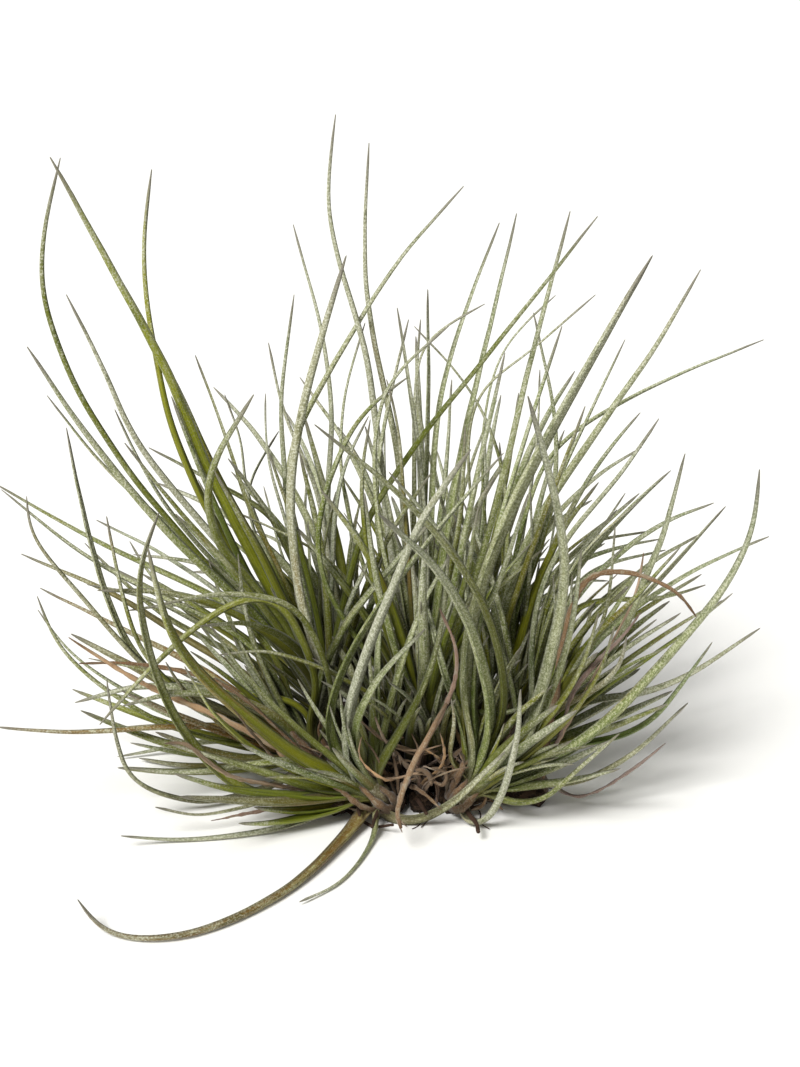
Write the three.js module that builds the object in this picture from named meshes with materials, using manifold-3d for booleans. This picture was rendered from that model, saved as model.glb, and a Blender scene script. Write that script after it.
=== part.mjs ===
// Tillandsia bartramii, an air plant: a clump of rosettes of long, thin, channelled leaves
// on one woody crown with wiry roots. It is as picked, resting on a surface.
// Millimetres, +Z up. The middle of the crown's flat underside is the origin.
import * as THREE from "three";
import { mergeVertices } from "three/addons/utils/BufferGeometryUtils.js";
import Module from "manifold-3d";

const wasm = await Module();
wasm.setup();

// Sizes that drive the plant
const BULB_RADIUS = 5; // widest part of the clasping sheaths of a rosette
const BULB_HEIGHT = 19;
const LEAF_GAP = 0.5; // space between leaves of neighbouring rosettes
const SISTER_GAP = 0.1; // space between leaves of one rosette, from SISTER_START outwards
const SISTER_START = 22;
const THINNEST = 0.4; // least half width of a leaf before its point
const TIP_SHARE = 0.25; // width left at the point, as a share of the width at the base
const TAPER = 1.8; // how late along its length a leaf narrows
const FULLNESS = 1.1; // width at the base over the width as read above it
const SHEATH_FLARE = 0.35; // how much wider a leaf is where it clasps the rosette
const SHEATH_REACH = 0.42; // share of a leaf's length over which that is lost
const KEEL_DEPTH = 0.78; // keel under the leaf, as a share of its half width
const EDGE_LIFT = 0.34; // edges over the midline, as a share of the half width
const CHANNEL_DEPTH = 0.12; // floor of the channel under the midline, same share
const CHANNEL_WIDTH = 3.2; // leaves at least this wide have an open channel
const FINEST = [0.06, 0.05, 0.07, 0.04, 0.08, 0.03, 0.02, 0.01]; // detail finer than this is left out
const FLOOR_GAP = 0.12; // a leaf that lies on the surface is this far over it
const CROWN_CENTRE = new THREE.Vector3(5, 16, 0); // before the shift to the origin

// Line of sight along which the leaf routes were read: the plant seen from in front and 20 degrees above
const ELEVATION = THREE.MathUtils.degToRad(20);
const EYE_DISTANCE = 560;
const AIM_ACROSS = -1.5;
const AIM_UP = 80;
const ACROSS = new THREE.Vector3(1, 0, 0);
const UPWARD = new THREE.Vector3(0, Math.sin(ELEVATION), Math.cos(ELEVATION));
const TOWARD = new THREE.Vector3(0, -Math.cos(ELEVATION), Math.sin(ELEVATION));
const EYE = new THREE.Vector3()
  .addScaledVector(ACROSS, AIM_ACROSS)
  .addScaledVector(UPWARD, AIM_UP)
  .addScaledVector(TOWARD, EYE_DISTANCE);

// Colours: the fresh leaf under its silver scales, the greener leaves, dry leaves and bark
const TONES = {
  silver: { color: 0x9a9d7c, roughness: 0.78 },
  green: { color: 0x757f3e, roughness: 0.62 },
  pale: { color: 0xaeb095, roughness: 0.8 },
  tan: { color: 0xb79c80, roughness: 0.85 },
  brown: { color: 0x6d5237, roughness: 0.85 },
  mauve: { color: 0x8a7468, roughness: 0.85 },
  bark: { color: 0x3b2a1f, roughness: 0.92 },
};

// Rosettes: tone, foot of the bulb, lean of its axis, then the leaves.
// Fans are further leaves by rule in the eye's plane: how many, from and to which angle, shortest and
// longest, nearest and farthest tip. Fill is for the sides the eye can't see: direction, length, steepness.
// A leaf: tone, width at the base, how far back its tip is, and its route as the eye sees it,
// across and up in turn, from the tip to the base.
const ROSETTES = {
  rosette_left_tall: {
    tone: "green",
    foot: [-19, 22, 8],
    lean: [-0.35, 0.15, 1],
    leaves: [
      ["green", 2.9, 40, [
        -103.5, 192.5, -106.5, 180, -109.3, 160, -105.5, 140, -96.5, 120, -85, 102, -70, 83, -50, 62,
      ]],
      ["vivid", 3.6, 5, [
        -106.3, 192.7, -95, 171, -85, 154, -77.5, 141, -68, 121, -59, 98, -52, 85, -45, 72,
        -36, 55,
      ]],
      ["green", 3, 12, [-70, 121, -64.5, 108, -59, 94, -52.5, 80, -45.5, 64, -39, 52]],
      ["vivid", 3.4, 24, [-78, 143.5, -73, 133, -66.5, 120.5, -57.5, 99.5, -49.5, 85, -42, 71, -34, 52]],
      ["vivid", 2.8, -4, [-57, 98.5, -51, 88, -43.5, 74, -37, 60.5, -32, 50]],
      ["vivid", 3.6, 58, [
        -76, 189, -78.2, 170, -78, 158, -75.5, 140, -72, 120, -69, 110, -65, 100, -61, 91,
        -48, 68,
      ]],
      ["pale", 2.6, 22, [
        -101.5, 151.5, -95, 140, -90, 128, -82, 110, -72, 96, -60, 82, -50, 70, -42, 60,
      ]],
      ["silver", 3, -8, [-113.3, 135.8, -104, 121, -92, 105, -80, 90, -68, 77, -62, 71, -45, 54]],
      ["silver", 2, 62, [-107.2, 121.3, -97, 108, -92, 102, -78, 89, -58, 70, -44, 56]],
      ["silver", 2.2, 36, [-87, 117, -80, 102, -70, 86, -56, 70, -42, 54]],
      ["olive", 2.2, -14, [-84, 107, -74, 94, -60, 78, -46, 62]],
      ["green", 2.4, 74, [-76.7, 105.7, -62, 98, -50, 91.5, -40, 85.5, -31, 72]],
      ["olive", 1.8, 34, [-51, 86.5, -40, 81, -30, 77, -22, 71, -17, 65, -13, 59, -12, 48]],
      ["olive", 1.8, 60, [-62.8, 133.3, -57, 119, -52, 103, -46, 86, -38, 70, -31, 54]],
      ["olive", 3.5, -6, [
        -45.5, 121.5, -54, 106.5, -58, 99.5, -59.5, 92, -56, 77, -47, 66, -37, 53, -27, 38,
      ]],
      ["pale", 2, 78, [-92.5, 84, -80, 78, -64, 68, -46, 54]],
      ["silver", 2.8, 30, [-33.3, 151.5, -35.5, 138, -37.5, 118, -36.5, 100, -35, 84, -31, 68, -27, 50]],
      ["olive", 2.6, 2, [
        57.7, 175, 46, 160.5, 34, 145, 22, 131, 11, 117, -1, 101, -10, 87, -16, 72,
        -20, 52,
      ]],
      ["silver", 2.4, 44, [-11, 115, -18, 101, -21, 86, -22, 72, -22, 54]],
    ],
    fans: [[9, 96, 150, 46, 92, 6, 70]],
    fill: [[205, 96, 40], [235, 84, 44]],
  },
  rosette_left_low: {
    tone: "silver",
    foot: [-23, 6, 5],
    lean: [-0.75, -0.05, 1],
    leaves: [
      ["olive", 2.2, 46, [-123, 95, -107, 86, -93, 78, -80, 72, -66, 65, -50, 57, -38, 42]],
      ["silver", 2.4, 26, [-121, 93, -108, 82, -94, 72, -80, 64, -65, 57, -50, 49, -38, 36]],
      ["mauve", 2.6, 0, [-113.5, 91, -112, 79, -104, 70, -95, 59, -85, 48, -74, 37, -56, 28]],
      ["mauve", 2.4, 54, [-115, 73.8, -98, 66.5, -80, 58, -62, 46, -48, 38, -36, 28]],
      ["mauve", 2.2, 34, [-109.3, 63.5, -95, 56.5, -80, 49, -62, 40, -44, 27]],
      ["olive", 2.4, -4, [-110.3, 61, -106, 50, -98, 40, -88, 32.5, -72, 23, -52, 17]],
      ["silver", 2, 14, [-110, 57, -102, 46, -92, 38, -76, 29, -56, 21]],
      ["olive", 2.6, -28, [-91.5, 23, -83, 33.5, -73, 43, -62, 52, -50, 60.5, -40, 61, -31, 50, -26, 34]],
      ["green", 2.6, -36, [-76, 58, -62, 61.5, -45, 61.5, -33, 57.5, -25, 44, -22, 28]],
      ["green", 2.4, 62, [-96, 77, -88, 70, -80, 61, -70, 54, -58, 47, -45, 41, -34, 30]],
      ["olive", 2, 66, [-82.5, 77.5, -77, 68, -64, 56, -48, 44, -36, 32]],
      ["olive", 2.4, -10, [-89.5, 85, -87, 70, -82.5, 55, -77.5, 43, -64, 30, -46, 21]],
      ["silver", 2.6, 20, [-101.5, 111.5, -101, 105, -97, 89, -93, 73, -88, 57, -80, 42, -60, 26]],
      ["olive", 2.4, -24, [-71.7, 41.3, -65, 31, -54, 22, -40, 13]],
      ["brown", 2.2, -14, [-123, 22, -108, 20.5, -92, 20.5, -70, 22.3, -50, 22, -35, 20]],
      ["pale", 1.6, 8, [-94, 31.2, -85, 31.8, -75, 27, -58, 21, -40, 17]],
      ["vivid", 2.4, 4, [-66, 36, -50, 31.5, -35, 30, -29, 25]],
      ["mauve", 2.2, -30, [-89.3, 36, -87.5, 23, -84, 10, -80, 5, -68, 0.5, -60, -0.5, -44, 3, -34, 7]],
      ["pale", 2.4, 40, [-86, 13, -70, 16, -54, 18, -40, 17]],
    ],
    fans: [[9, 150, 186, 44, 84, -30, 40]],
    fill: [[160, 92, 34], [196, 80, 22], [214, 74, 30]],
  },
  rosette_front_left: {
    tone: "silver",
    foot: [-4, -9, 3.2],
    lean: [-0.7, -0.4, 0.85],
    leaves: [
      ["olive", 3.2, -34, [-74, 86, -79.5, 70, -79, 54, -74, 36, -66, 19, -53, 6.5, -38, 1.3, -24, 1.5]],
      ["vivid", 4.2, -46, [-77, 75.5, -73.5, 60, -68, 46, -58, 34, -46, 24, -33, 13.5, -22, 7.5]],
      ["silver", 2.6, -22, [-82.5, 9.7, -68, 8, -52, 9.5, -38, 10.3, -30, 9]],
      ["mauve", 1.4, -24, [-74.7, -2.2, -64, -4.5, -52, -3.7, -41, -0.7, -26, 2]],
      ["pale", 2.2, -30, [-85, -10.7, -72, -11.8, -56, -11, -40, -9, -28, -5, -19, -1.5]],
      ["mauve", 3, -70, [
        -98, -30, -93, -38, -84, -41.2, -70, -41.3, -54, -36.5, -38, -28.5, -24, -17.5, -13, -5.5,
      ]],
      ["pale", 1.6, -60, [-31.5, -30.5, -20, -24.8, -11, -14, -8.5, -7]],
      ["pale", 4.2, -58, [
        19.7, 105, 8, 89, 2, 75, -6, 57, -13, 38, -16.6, 24, -16.8, 15, -15.2, 8, -11.5, 3.8,
      ]],
      ["green", 2.6, -36, [29.5, 104, 20, 93, 10, 81, -4, 63, -17, 43, -23, 25, -22.5, 18, -19, 11]],
      ["olive", 2.8, -26, [13, 76, 12, 60, 9, 45, 5, 33, 1, 25, -4, 17, -7, 12]],
      ["mauve", 2.6, -27, [30, 14.5, 23, 7.5, 13, -1.5, 3, -6, -2, -6.2, -6, -4]],
      ["vivid", 2, -52, [-66, 40, -58, 27, -46, 16, -34, 9, -22, 4.5]],
      ["silver", 2.6, -38, [6, 51.3, -0.5, 45, -10.3, 33.5, -14.6, 24, -15.4, 16, -13, 8]],
      ["olive", 1.8, -44, [-58, 52, -50, 40, -40, 29, -28, 18, -18, 10]],
    ],
    fans: [[6, 158, 196, 34, 66, -46, -18], [4, 70, 128, 34, 62, -6, 12]],
    fill: [],
  },
  rosette_front_right: {
    tone: "silver",
    foot: [14.2, -8.5, 3.5],
    lean: [0.7, -0.3, 0.85],
    leaves: [
      ["silver", 3.8, -52, [-8, 86, 0, 79, 9, 70, 17, 58, 22.5, 43, 26, 28, 25.6, 20, 23, 11]],
      ["pale", 4.5, -18, [
        74, 163, 66, 150, 58, 136, 50, 121, 42, 105, 34, 90, 27, 74, 21.5, 58,
        19, 44, 19, 28,
      ]],
      ["pale", 2.4, -42, [34.7, 33, 33.5, 18, 29.5, 3, 24.5, -6, 21.5, -7.6, 16.5, -5]],
      ["pale", 3.8, -34, [37, 121, 42, 104, 47.5, 77, 48, 68, 44, 45, 37.5, 22, 31, 9]],
      ["silver", 2.6, -22, [53, 75, 51.5, 60, 48, 44, 42, 28, 34, 14]],
      ["silver", 2.4, -30, [64.2, 19.8, 50, 8, 41, 0.5, 31, -0.5]],
      ["mauve", 2.2, -4, [84.7, 29, 75, 19.5, 64, 11, 52, 5.5, 40, 4.5, 31, 5]],
      ["silver", 3.2, -12, [106.3, 99, 106, 88, 102, 75, 94, 61, 83, 48, 72, 35, 61, 24, 49, 14.5, 35, 9]],
      ["brown", 2, -28, [14, 30, 15, 25, 14, 18, 14, 12]],
      ["olive", 2.6, -44, [-27, 112.5, -12, 101, -5, 95, 4, 86, 15, 73, 23, 60, 28, 45, 30, 32, 28, 20]],
      ["olive", 2.4, 0, [20, 62, 19, 48, 18, 34, 18, 22]],
      ["olive", 2.4, -44, [63, 52, 58, 38, 50, 26, 40, 16, 30, 9]],
      ["olive", 2.2, -20, [58, 56, 54, 42, 47, 30, 38, 19, 29, 12]],
      ["silver", 2.4, -12, [47, 142, 41, 122, 34, 102, 28, 82, 24, 62, 21, 42, 20, 28]],
    ],
    fans: [[6, 4, 56, 32, 58, -42, -10], [3, 60, 110, 34, 60, -8, 12]],
    fill: [],
  },
  rosette_right: {
    tone: "silver",
    foot: [32, 9, 5],
    lean: [0.55, -0.05, 1],
    leaves: [
      ["pale", 2.4, 16, [106.3, 51.5, 91, 41, 81, 35.5, 70, 31.8, 54, 29.5, 46, 25]],
      ["silver", 2.4, -16, [92, 47.3, 83, 35, 76, 26, 65, 19.3, 50, 16.5, 42, 14]],
      ["silver", 2, 30, [109, 79, 98, 75, 86, 67.5, 75, 62, 60, 50, 48, 36]],
      ["olive", 2.2, 50, [90, 64.5, 80, 61, 68, 60, 52, 58.5, 44, 46, 40, 32]],
      ["silver", 2, 58, [78, 75, 68, 72.5, 55, 67.5, 46, 54, 41, 38]],
      ["silver", 2, 64, [73.3, 80.7, 60, 78, 49, 73.5, 42, 58, 39, 40]],
      ["silver", 2.2, 40, [70.8, 90, 62, 82, 52, 72, 44, 56, 39, 38]],
      ["pale", 2, 52, [63.5, 87, 53, 75, 45, 60, 40, 42]],
      ["olive", 2, -2, [63, 82, 62, 68, 59.5, 54, 57, 49, 50, 36, 43, 24]],
      ["pale", 2.8, 20, [84, 103.8, 80.5, 91, 77, 78, 72.5, 68, 67, 53, 54, 34, 44, 22]],
      ["olive", 2.4, -8, [82.5, 75.8, 75, 66.5, 65, 57, 54, 46, 46, 33, 40, 22]],
      ["mauve", 2.2, -24, [66.5, 49, 64, 40, 56, 32.5, 44, 26, 39, 20]],
      ["pale", 2.6, 12, [76, 114.3, 69.5, 103.5, 60, 92, 50, 80.5, 42, 66, 38, 46]],
      ["pale", 2.2, 34, [96, 88, 86, 76, 74, 64, 60, 50, 46, 34]],
      ["green", 2, 6, [98, 62, 86, 52, 72, 42, 56, 31, 45, 22]],
    ],
    fans: [[9, 14, 66, 36, 70, -20, 46]],
    fill: [[32, 92, 44]],
  },
  rosette_centre: {
    tone: "silver",
    foot: [5, 8, 6.5],
    lean: [0.05, 0.05, 1],
    leaves: [
      ["silver", 4, -10, [6, 78, 5.5, 60, 6.5, 44, 5.5, 32]],
      ["silver", 2.6, 24, [1, 127, -12, 117, -20, 103, -25.5, 86, -25, 68, -14, 48, -4, 34]],
      ["silver", 3, 20, [
        49.5, 176.5, 45.5, 161, 41, 144, 36.5, 128, 32.5, 112, 29, 96, 24.5, 81, 20, 66,
        13, 44,
      ]],
      ["silver", 2.4, 30, [33.5, 175.8, 30, 160, 26, 144, 22.5, 128, 18, 110, 15, 95, 11, 70, 8, 46]],
      ["pale", 4.4, -16, [
        -17.7, 163, -24.5, 140, -29.5, 122, -33, 106, -34, 90, -33, 76, -31, 62, -27.5, 50,
        -21.5, 39, -13, 29,
      ]],
      ["silver", 2.2, 38, [28.3, 173, 22.5, 160, 17.5, 145, 13, 130, 10, 118, 8, 92, 7, 64, 6, 42]],
      ["green", 2.4, 14, [-10.5, 114, -13, 98, -12, 82, -8, 60, -1, 40]],
      ["silver", 2, 8, [13, 142, 5, 135, -5, 125, -9, 108, -8, 84, -2, 56, 2, 38]],
      ["silver", 2.2, 34, [6.8, 153, 7, 120, 6, 92, 5, 62, 5, 40]],
      ["pale", 2.2, 26, [-2.3, 147.5, 1, 127, 4, 104, 6, 80, 6, 54]],
      ["olive", 1.8, -16, [-56, 43.5, -43, 45, -28, 40.5, -13, 33, -2, 26, 5, 21]],
      ["brown", 2, 12, [-5.5, 126, -3, 118, -2, 110, -1.5, 103, 0, 80, 2, 50]],
      ["olive", 2.6, -12, [40, 30, 29, 26, 17, 27, 10, 26]],
      ["olive", 2.6, 6, [18, 112, 17, 92, 14, 70, 10, 48, 8, 36]],
      ["silver", 2.8, -16, [-12, 92, -10, 74, -6, 56, -1, 40]],
      ["silver", 2.4, -20, [36, 92, 30, 74, 22, 54, 13, 38]],
      ["silver", 2.6, 0, [30, 134, 25, 112, 20, 90, 15, 66, 10, 44]],
      ["green", 2.4, -22, [22, 88, 19, 70, 14, 52, 9, 38]],
    ],
    fans: [[6, 52, 128, 46, 92, -14, 34]],
    fill: [],
  },
  rosette_right_back: {
    tone: "silver",
    foot: [29, 28, 8],
    lean: [0.4, 0.3, 1],
    leaves: [
      ["silver", 2.8, 30, [88.5, 159, 80.5, 144, 69, 128, 57.5, 111, 47, 95, 38, 80, 31, 62, 28, 46]],
      ["silver", 2.2, 64, [
        107.5, 138, 92, 131.3, 78, 125.8, 64, 118.5, 51, 110.5, 42, 101, 34, 76, 30, 52,
      ]],
      ["pale", 1.6, 44, [57, 151.5, 47, 143.5, 37, 134, 22, 121.5, 19, 100, 22, 72, 26, 50]],
      ["silver", 1.6, 70, [45, 151.3, 36, 142, 30, 136, 24, 116, 24, 88, 26, 60]],
      ["silver", 2, 56, [38.5, 146, 42.5, 130, 45, 112, 45, 96, 38, 70, 31, 48]],
      ["pale", 1.6, 24, [23.8, 148.7, 15, 144, 5, 136, 4, 118, 12, 88, 22, 58]],
      ["silver", 1.8, 38, [3, 142, 14, 131, 22, 119, 28, 105, 31, 84, 30, 56]],
      ["green", 2, 80, [48, 100, 44, 86, 38, 68, 32, 50]],
      ["pale", 1.8, 76, [40.5, 129, 40, 110, 37, 88, 32, 60]],
      ["silver", 2.2, 48, [66, 138, 58, 120, 48, 100, 39, 80, 32, 58]],
      ["olive", 2.2, 22, [54, 118, 48, 102, 41, 84, 34, 64, 29, 48]],
    ],
    fans: [[4, 30, 96, 56, 96, 30, 76]],
    fill: [[48, 110, 56], [72, 104, 50], [24, 98, 42], [60, 84, 26], [88, 90, 34]],
  },
  rosette_back_centre: {
    tone: "silver",
    foot: [6, 29, 9],
    lean: [0, 0.3, 1],
    leaves: [
      ["pale", 2.5, 56, [
        -20.8, 205.5, -23, 190, -22.8, 175, -19, 158.5, -14, 143, -10.5, 128, -8.5, 110, -5, 84,
        -1, 56,
      ]],
      ["pale", 2.4, 66, [-10.8, 197, -12, 178, -12, 158, -9.8, 140, -6, 122, -2, 103, 0, 80, 2, 54]],
      ["silver", 1.8, 50, [-12, 143, -16, 132, -18, 120, -19.5, 105, -16, 82, -6, 54]],
      ["silver", 2, 72, [4.7, 144, 3, 124, 3, 100, 3, 74, 3, 52]],
      ["silver", 2, 46, [1, 144, -4, 124, -8, 102, -8, 78, -2, 52]],
      ["silver", 2.2, 62, [14, 126, 13, 108, 11, 86, 7, 58]],
      ["silver", 2, 80, [20, 116, 18, 98, 13, 74, 8, 54]],
      ["pale", 2, 84, [-6, 112, -6, 92, -4, 70, 0, 50]],
    ],
    fans: [[3, 66, 118, 60, 96, 44, 84]],
    fill: [[92, 126, 62], [70, 112, 52], [112, 108, 46], [98, 92, 32], [80, 100, 40], [126, 118, 58]],
  },
  rosette_back_left: {
    tone: "pale",
    foot: [-11, 39, 6.5],
    lean: [-0.35, 0.5, 1],
    leaves: [
      ["silver", 2.2, 52, [
        17.5, 184, 6, 172, -6, 156, -16, 140, -25, 124, -32, 111, -35.5, 97, -32, 72,
        -24, 48,
      ]],
      ["pale", 2, 70, [-33.5, 172.5, -28.5, 153, -24, 136, -22, 118, -22.5, 98, -23.5, 82, -21, 56]],
      ["pale", 1.8, 62, [-41, 137, -38, 121, -31, 104, -25, 88, -21, 60]],
      ["pale", 1.8, 80, [-41.8, 121.8, -41.5, 106, -38, 91, -30, 66, -22, 46]],
      ["pale", 1.8, 90, [-38, 110.5, -45.5, 98, -47.5, 91, -40, 68, -27, 48]],
      ["pale", 1.8, 84, [-54, 121.5, -49, 108, -48, 95, -40, 74, -28, 50]],
      ["pale", 2, 74, [-29.3, 97.8, -30, 84, -28.5, 77, -22, 56]],
      ["silver", 1.8, 94, [-42.3, 94, -40, 84, -34, 66, -26, 48]],
      ["green", 2, 88, [-62, 96, -56, 84, -46, 68, -32, 48]],
    ],
    fans: [[4, 92, 156, 56, 92, 50, 96]],
    fill: [
      [110, 114, 46], [132, 120, 54], [150, 104, 40], [96, 96, 34], [120, 90, 24],
      [168, 92, 32], [142, 84, 20], [108, 76, 14], [186, 86, 26],
    ],
  },
  rosette_back_right: {
    tone: "silver",
    foot: [18, 43, 6.5],
    lean: [0.25, 0.55, 1],
    leaves: [
      ["green", 1.8, 86, [34, 122, 32, 104, 28, 84, 22, 58]],
      ["silver", 1.8, 92, [52, 112, 46, 94, 37, 72, 26, 52]],
      ["silver", 2, 78, [24, 110, 24, 92, 22, 72, 20, 54]],
      ["pale", 2, 96, [66, 92, 57, 78, 44, 62, 30, 48]],
      ["silver", 1.8, 90, [8, 104, 12, 86, 16, 66, 18, 52]],
    ],
    fans: [[3, 30, 104, 50, 84, 56, 100]],
    fill: [
      [80, 116, 48], [60, 122, 54], [40, 108, 44], [96, 104, 38], [72, 88, 24],
      [54, 94, 32], [28, 90, 30], [84, 76, 14], [64, 80, 18], [44, 78, 16],
    ],
  },
};

const FAN_TONES = ["silver", "olive", "green", "silver", "olive", "vivid"];

// Dead leaves: each bunch grows from its own dry sheath
const DRY = {
  dry_leaves_front: {
    tone: "tan",
    foot: [5, -8, 1.6],
    top: [4.5, -3, 12],
    girth: 3,
    leaves: [
      ["tan", 2.1, -34, [-0.8, -9.5, -2.4, -5, -1.6, 0.5, 0.6, 6]],
      ["tan", 2, -22, [-13, 19, -14, 14, -11, 9, -6, 6.5, 0, 7.2]],
      ["tan", 1.8, -26, [10.5, 20, 12, 14, 10, 9, 7, 7]],
      ["tan", 1.8, -20, [-9, 25, -5, 17, 0, 11]],
      ["mauve", 1.7, -31, [10.5, 57.5, 14.4, 49, 15.8, 42, 14.8, 35, 11.6, 27, 6.6, 17.5, 3, 9.5]],
    ],
  },
  dry_leaves_left: {
    tone: "brown",
    foot: [-22, -9, 1.6],
    top: [-20, -4, 9],
    girth: 3.2,
    leaves: [
      ["tan", 2.4, -24, [-100.7, 48.7, -84, 38, -72, 32, -55, 25, -38, 15]],
      ["brown", 2, -12, [-97.5, 41, -86, 41.5, -74, 40, -58, 36, -40, 23]],
      ["tan", 2.6, -40, [-72, 17, -66, 17.5, -60, 12, -50, 7.5, -36, 3.5]],
      ["mauve", 2.4, -30, [-58, -6, -46, -3, -36, -0.5, -28, 0.5]],
      ["brown", 2.2, -34, [-52, 28, -44, 18, -36, 10, -28, 5]],
    ],
  },
  dry_leaves_right: {
    tone: "mauve",
    foot: [41, -3, 1.6],
    top: [40, 0, 11],
    girth: 3.4,
    leaves: [
      ["brown", 2.6, -8, [87.5, 55, 83, 62, 76, 65.5, 65, 69, 55, 68, 49, 54, 46, 34]],
      ["tan", 2, 12, [71.5, 74, 69.5, 62, 64, 51, 55, 34, 48, 20]],
      ["mauve", 2.4, -18, [70.5, 56, 66, 49.5, 58, 43, 50, 32, 46, 18]],
      ["mauve", 2, -22, [78, 17, 68, 9, 58, 3, 50, 1]],
    ],
  },
  dry_leaves_back: {
    tone: "brown",
    foot: [4, 52, 1.6],
    top: [4, 48, 12],
    girth: 3.6,
    leaves: [
      ["brown", 2.2, 118, [-20, 46, -12, 43, -4, 38, 0, 33]],
      ["tan", 2.4, 122, [28, 47, 20, 44, 10, 38, 4, 33]],
      ["brown", 2, 112, [4, 56, 4, 48, 3, 38]],
      ["tan", 2, 104, [-36, 50, -24, 46, -10, 38]],
    ],
  },
};

// Wiry roots that hang and creep from the crown, as the eye sees them: thickness, far depth, route
const ROOTS = [
  [1.7, -26, [22, -9.5, 21.4, -7, 19, -4, 17.5, -1]],
  [1.6, -24, [6.4, -4, 5.5, -2.5, 3.5, 0.5, 2, 2]],
  [1.5, -27, [-9.8, -8, -8.8, -5, -7, -2]],
  [1.4, -20, [-13.6, -4.5, -14, -1.5, -11, 2]],
  [1.2, -22, [-3.6, -7.4, -9.6, -7.8, -14.4, -5, -20.4, 0.5]],
  [1.4, 24, [50, 36, 53, 29, 48, 22.5, 44, 16, 38, 11]],
  [1.5, 96, [20, 30, 16, 31, 12, 28]],
  [1.4, 92, [-26, 29, -16, 29, -8, 26]],
];

// Crown: creeping woody stems from the middle to each rosette; each has its end, height there and radius
const CROWN_HUB = [5, 16, 5];
const CROWN_HUB_RADIUS = 12;
const STEM_RADIUS = 3.6;

function seededDraws(seed) {
  let state = seed >>> 0;
  return () => {
    state = (state + 0x6d2b79f5) >>> 0;
    let t = state;
    t = Math.imul(t ^ (t >>> 15), t | 1);
    t ^= t + Math.imul(t ^ (t >>> 7), t | 61);
    return ((t ^ (t >>> 14)) >>> 0) / 4294967296;
  };
}

// Point on the sight line of a reading at a given depth, slid along that line to stay over the surface.
function onSightLine(across, up, depth, low) {
  const read = new THREE.Vector3().addScaledVector(ACROSS, across).addScaledVector(UPWARD, up);
  const line = EYE.clone().sub(read);
  const at = read.clone().addScaledVector(line, (read.y - depth) / (read.y - EYE.y));
  if (at.z >= low) return at;
  return read.addScaledVector(line, (low - read.z) / line.z);
}

// Points of a route from its start to its tip; the depth moves from that of the start to that of the tip.
function routePoints(start, width, tipDepth, readings) {
  const pairs = [];
  for (let i = readings.length - 2; i >= 0; i -= 2) pairs.push([readings[i], readings[i + 1]]);
  let last = asSeen(start);
  const along = [];
  let sum = 0;
  for (const pair of pairs) {
    sum += Math.hypot(pair[0] - last[0], pair[1] - last[1]);
    along.push(sum);
    last = pair;
  }
  return pairs.map(([across, up], i) => {
    const share = Math.pow(along[i] / sum, 1.2);
    return onSightLine(across, up, start.y + (tipDepth - start.y) * share, width * 0.5 + FLOOR_GAP);
  });
}

// Where the eye sees a point, across and up in the reading plane.
function asSeen(point) {
  const seen = point.clone().sub(EYE);
  const scale = -EYE_DISTANCE / seen.dot(TOWARD);
  return [AIM_ACROSS + seen.dot(ACROSS) * scale, AIM_UP + seen.dot(UPWARD) * scale];
}

// A leaf of a fan: it goes out at its angle in the eye's plane; steep leaves arch over, low ones turn up.
function fanPoints(start, [count, from, to, shortest, longest, nearest, farthest], i, width, draw) {
  const angle = THREE.MathUtils.degToRad(from + ((to - from) * (i + 0.2 + 0.6 * draw())) / count);
  const length = shortest + (longest - shortest) * draw();
  const depth = nearest + (farthest - nearest) * draw();
  const sag = length * (0.05 + 0.12 * draw());
  const [across, up] = asSeen(start);
  const readings = [];
  for (let k = 4; k > 0; k--) {
    const share = k / 4;
    const bow = 4 * sag * share * (1 - share);
    const lean = Math.abs(Math.cos(angle));
    readings.push(across + length * share * Math.cos(angle) - bow * Math.sin(angle) * Math.cos(angle));
    readings.push(up + length * share * Math.sin(angle) + bow * (0.3 + 0.7 * lean) * (1 - 1.6 * lean * lean));
  }
  return routePoints(start, width, depth, readings);
}

// A leaf by rule, for the sides the eye can't see: it leaves steeply, then arches outwards and down.
function fillPoints(start, azimuth, length, climb) {
  const angle = THREE.MathUtils.degToRad(azimuth);
  const out = new THREE.Vector3(Math.cos(angle), Math.sin(angle), 0);
  const points = [];
  const at = start.clone();
  const steps = 6;
  const first = THREE.MathUtils.degToRad(Math.min(84, 46 + climb * 0.62));
  const last = THREE.MathUtils.degToRad(climb * 1.15 - 42);
  for (let i = 0; i < steps; i++) {
    const rise = first + (last - first) * ((i + 0.5) / steps);
    at.addScaledVector(out, (Math.cos(rise) * length) / steps);
    at.z += (Math.sin(rise) * length) / steps;
    at.z = Math.max(at.z, 1.6);
    points.push(at.clone());
  }
  return points;
}

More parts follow.
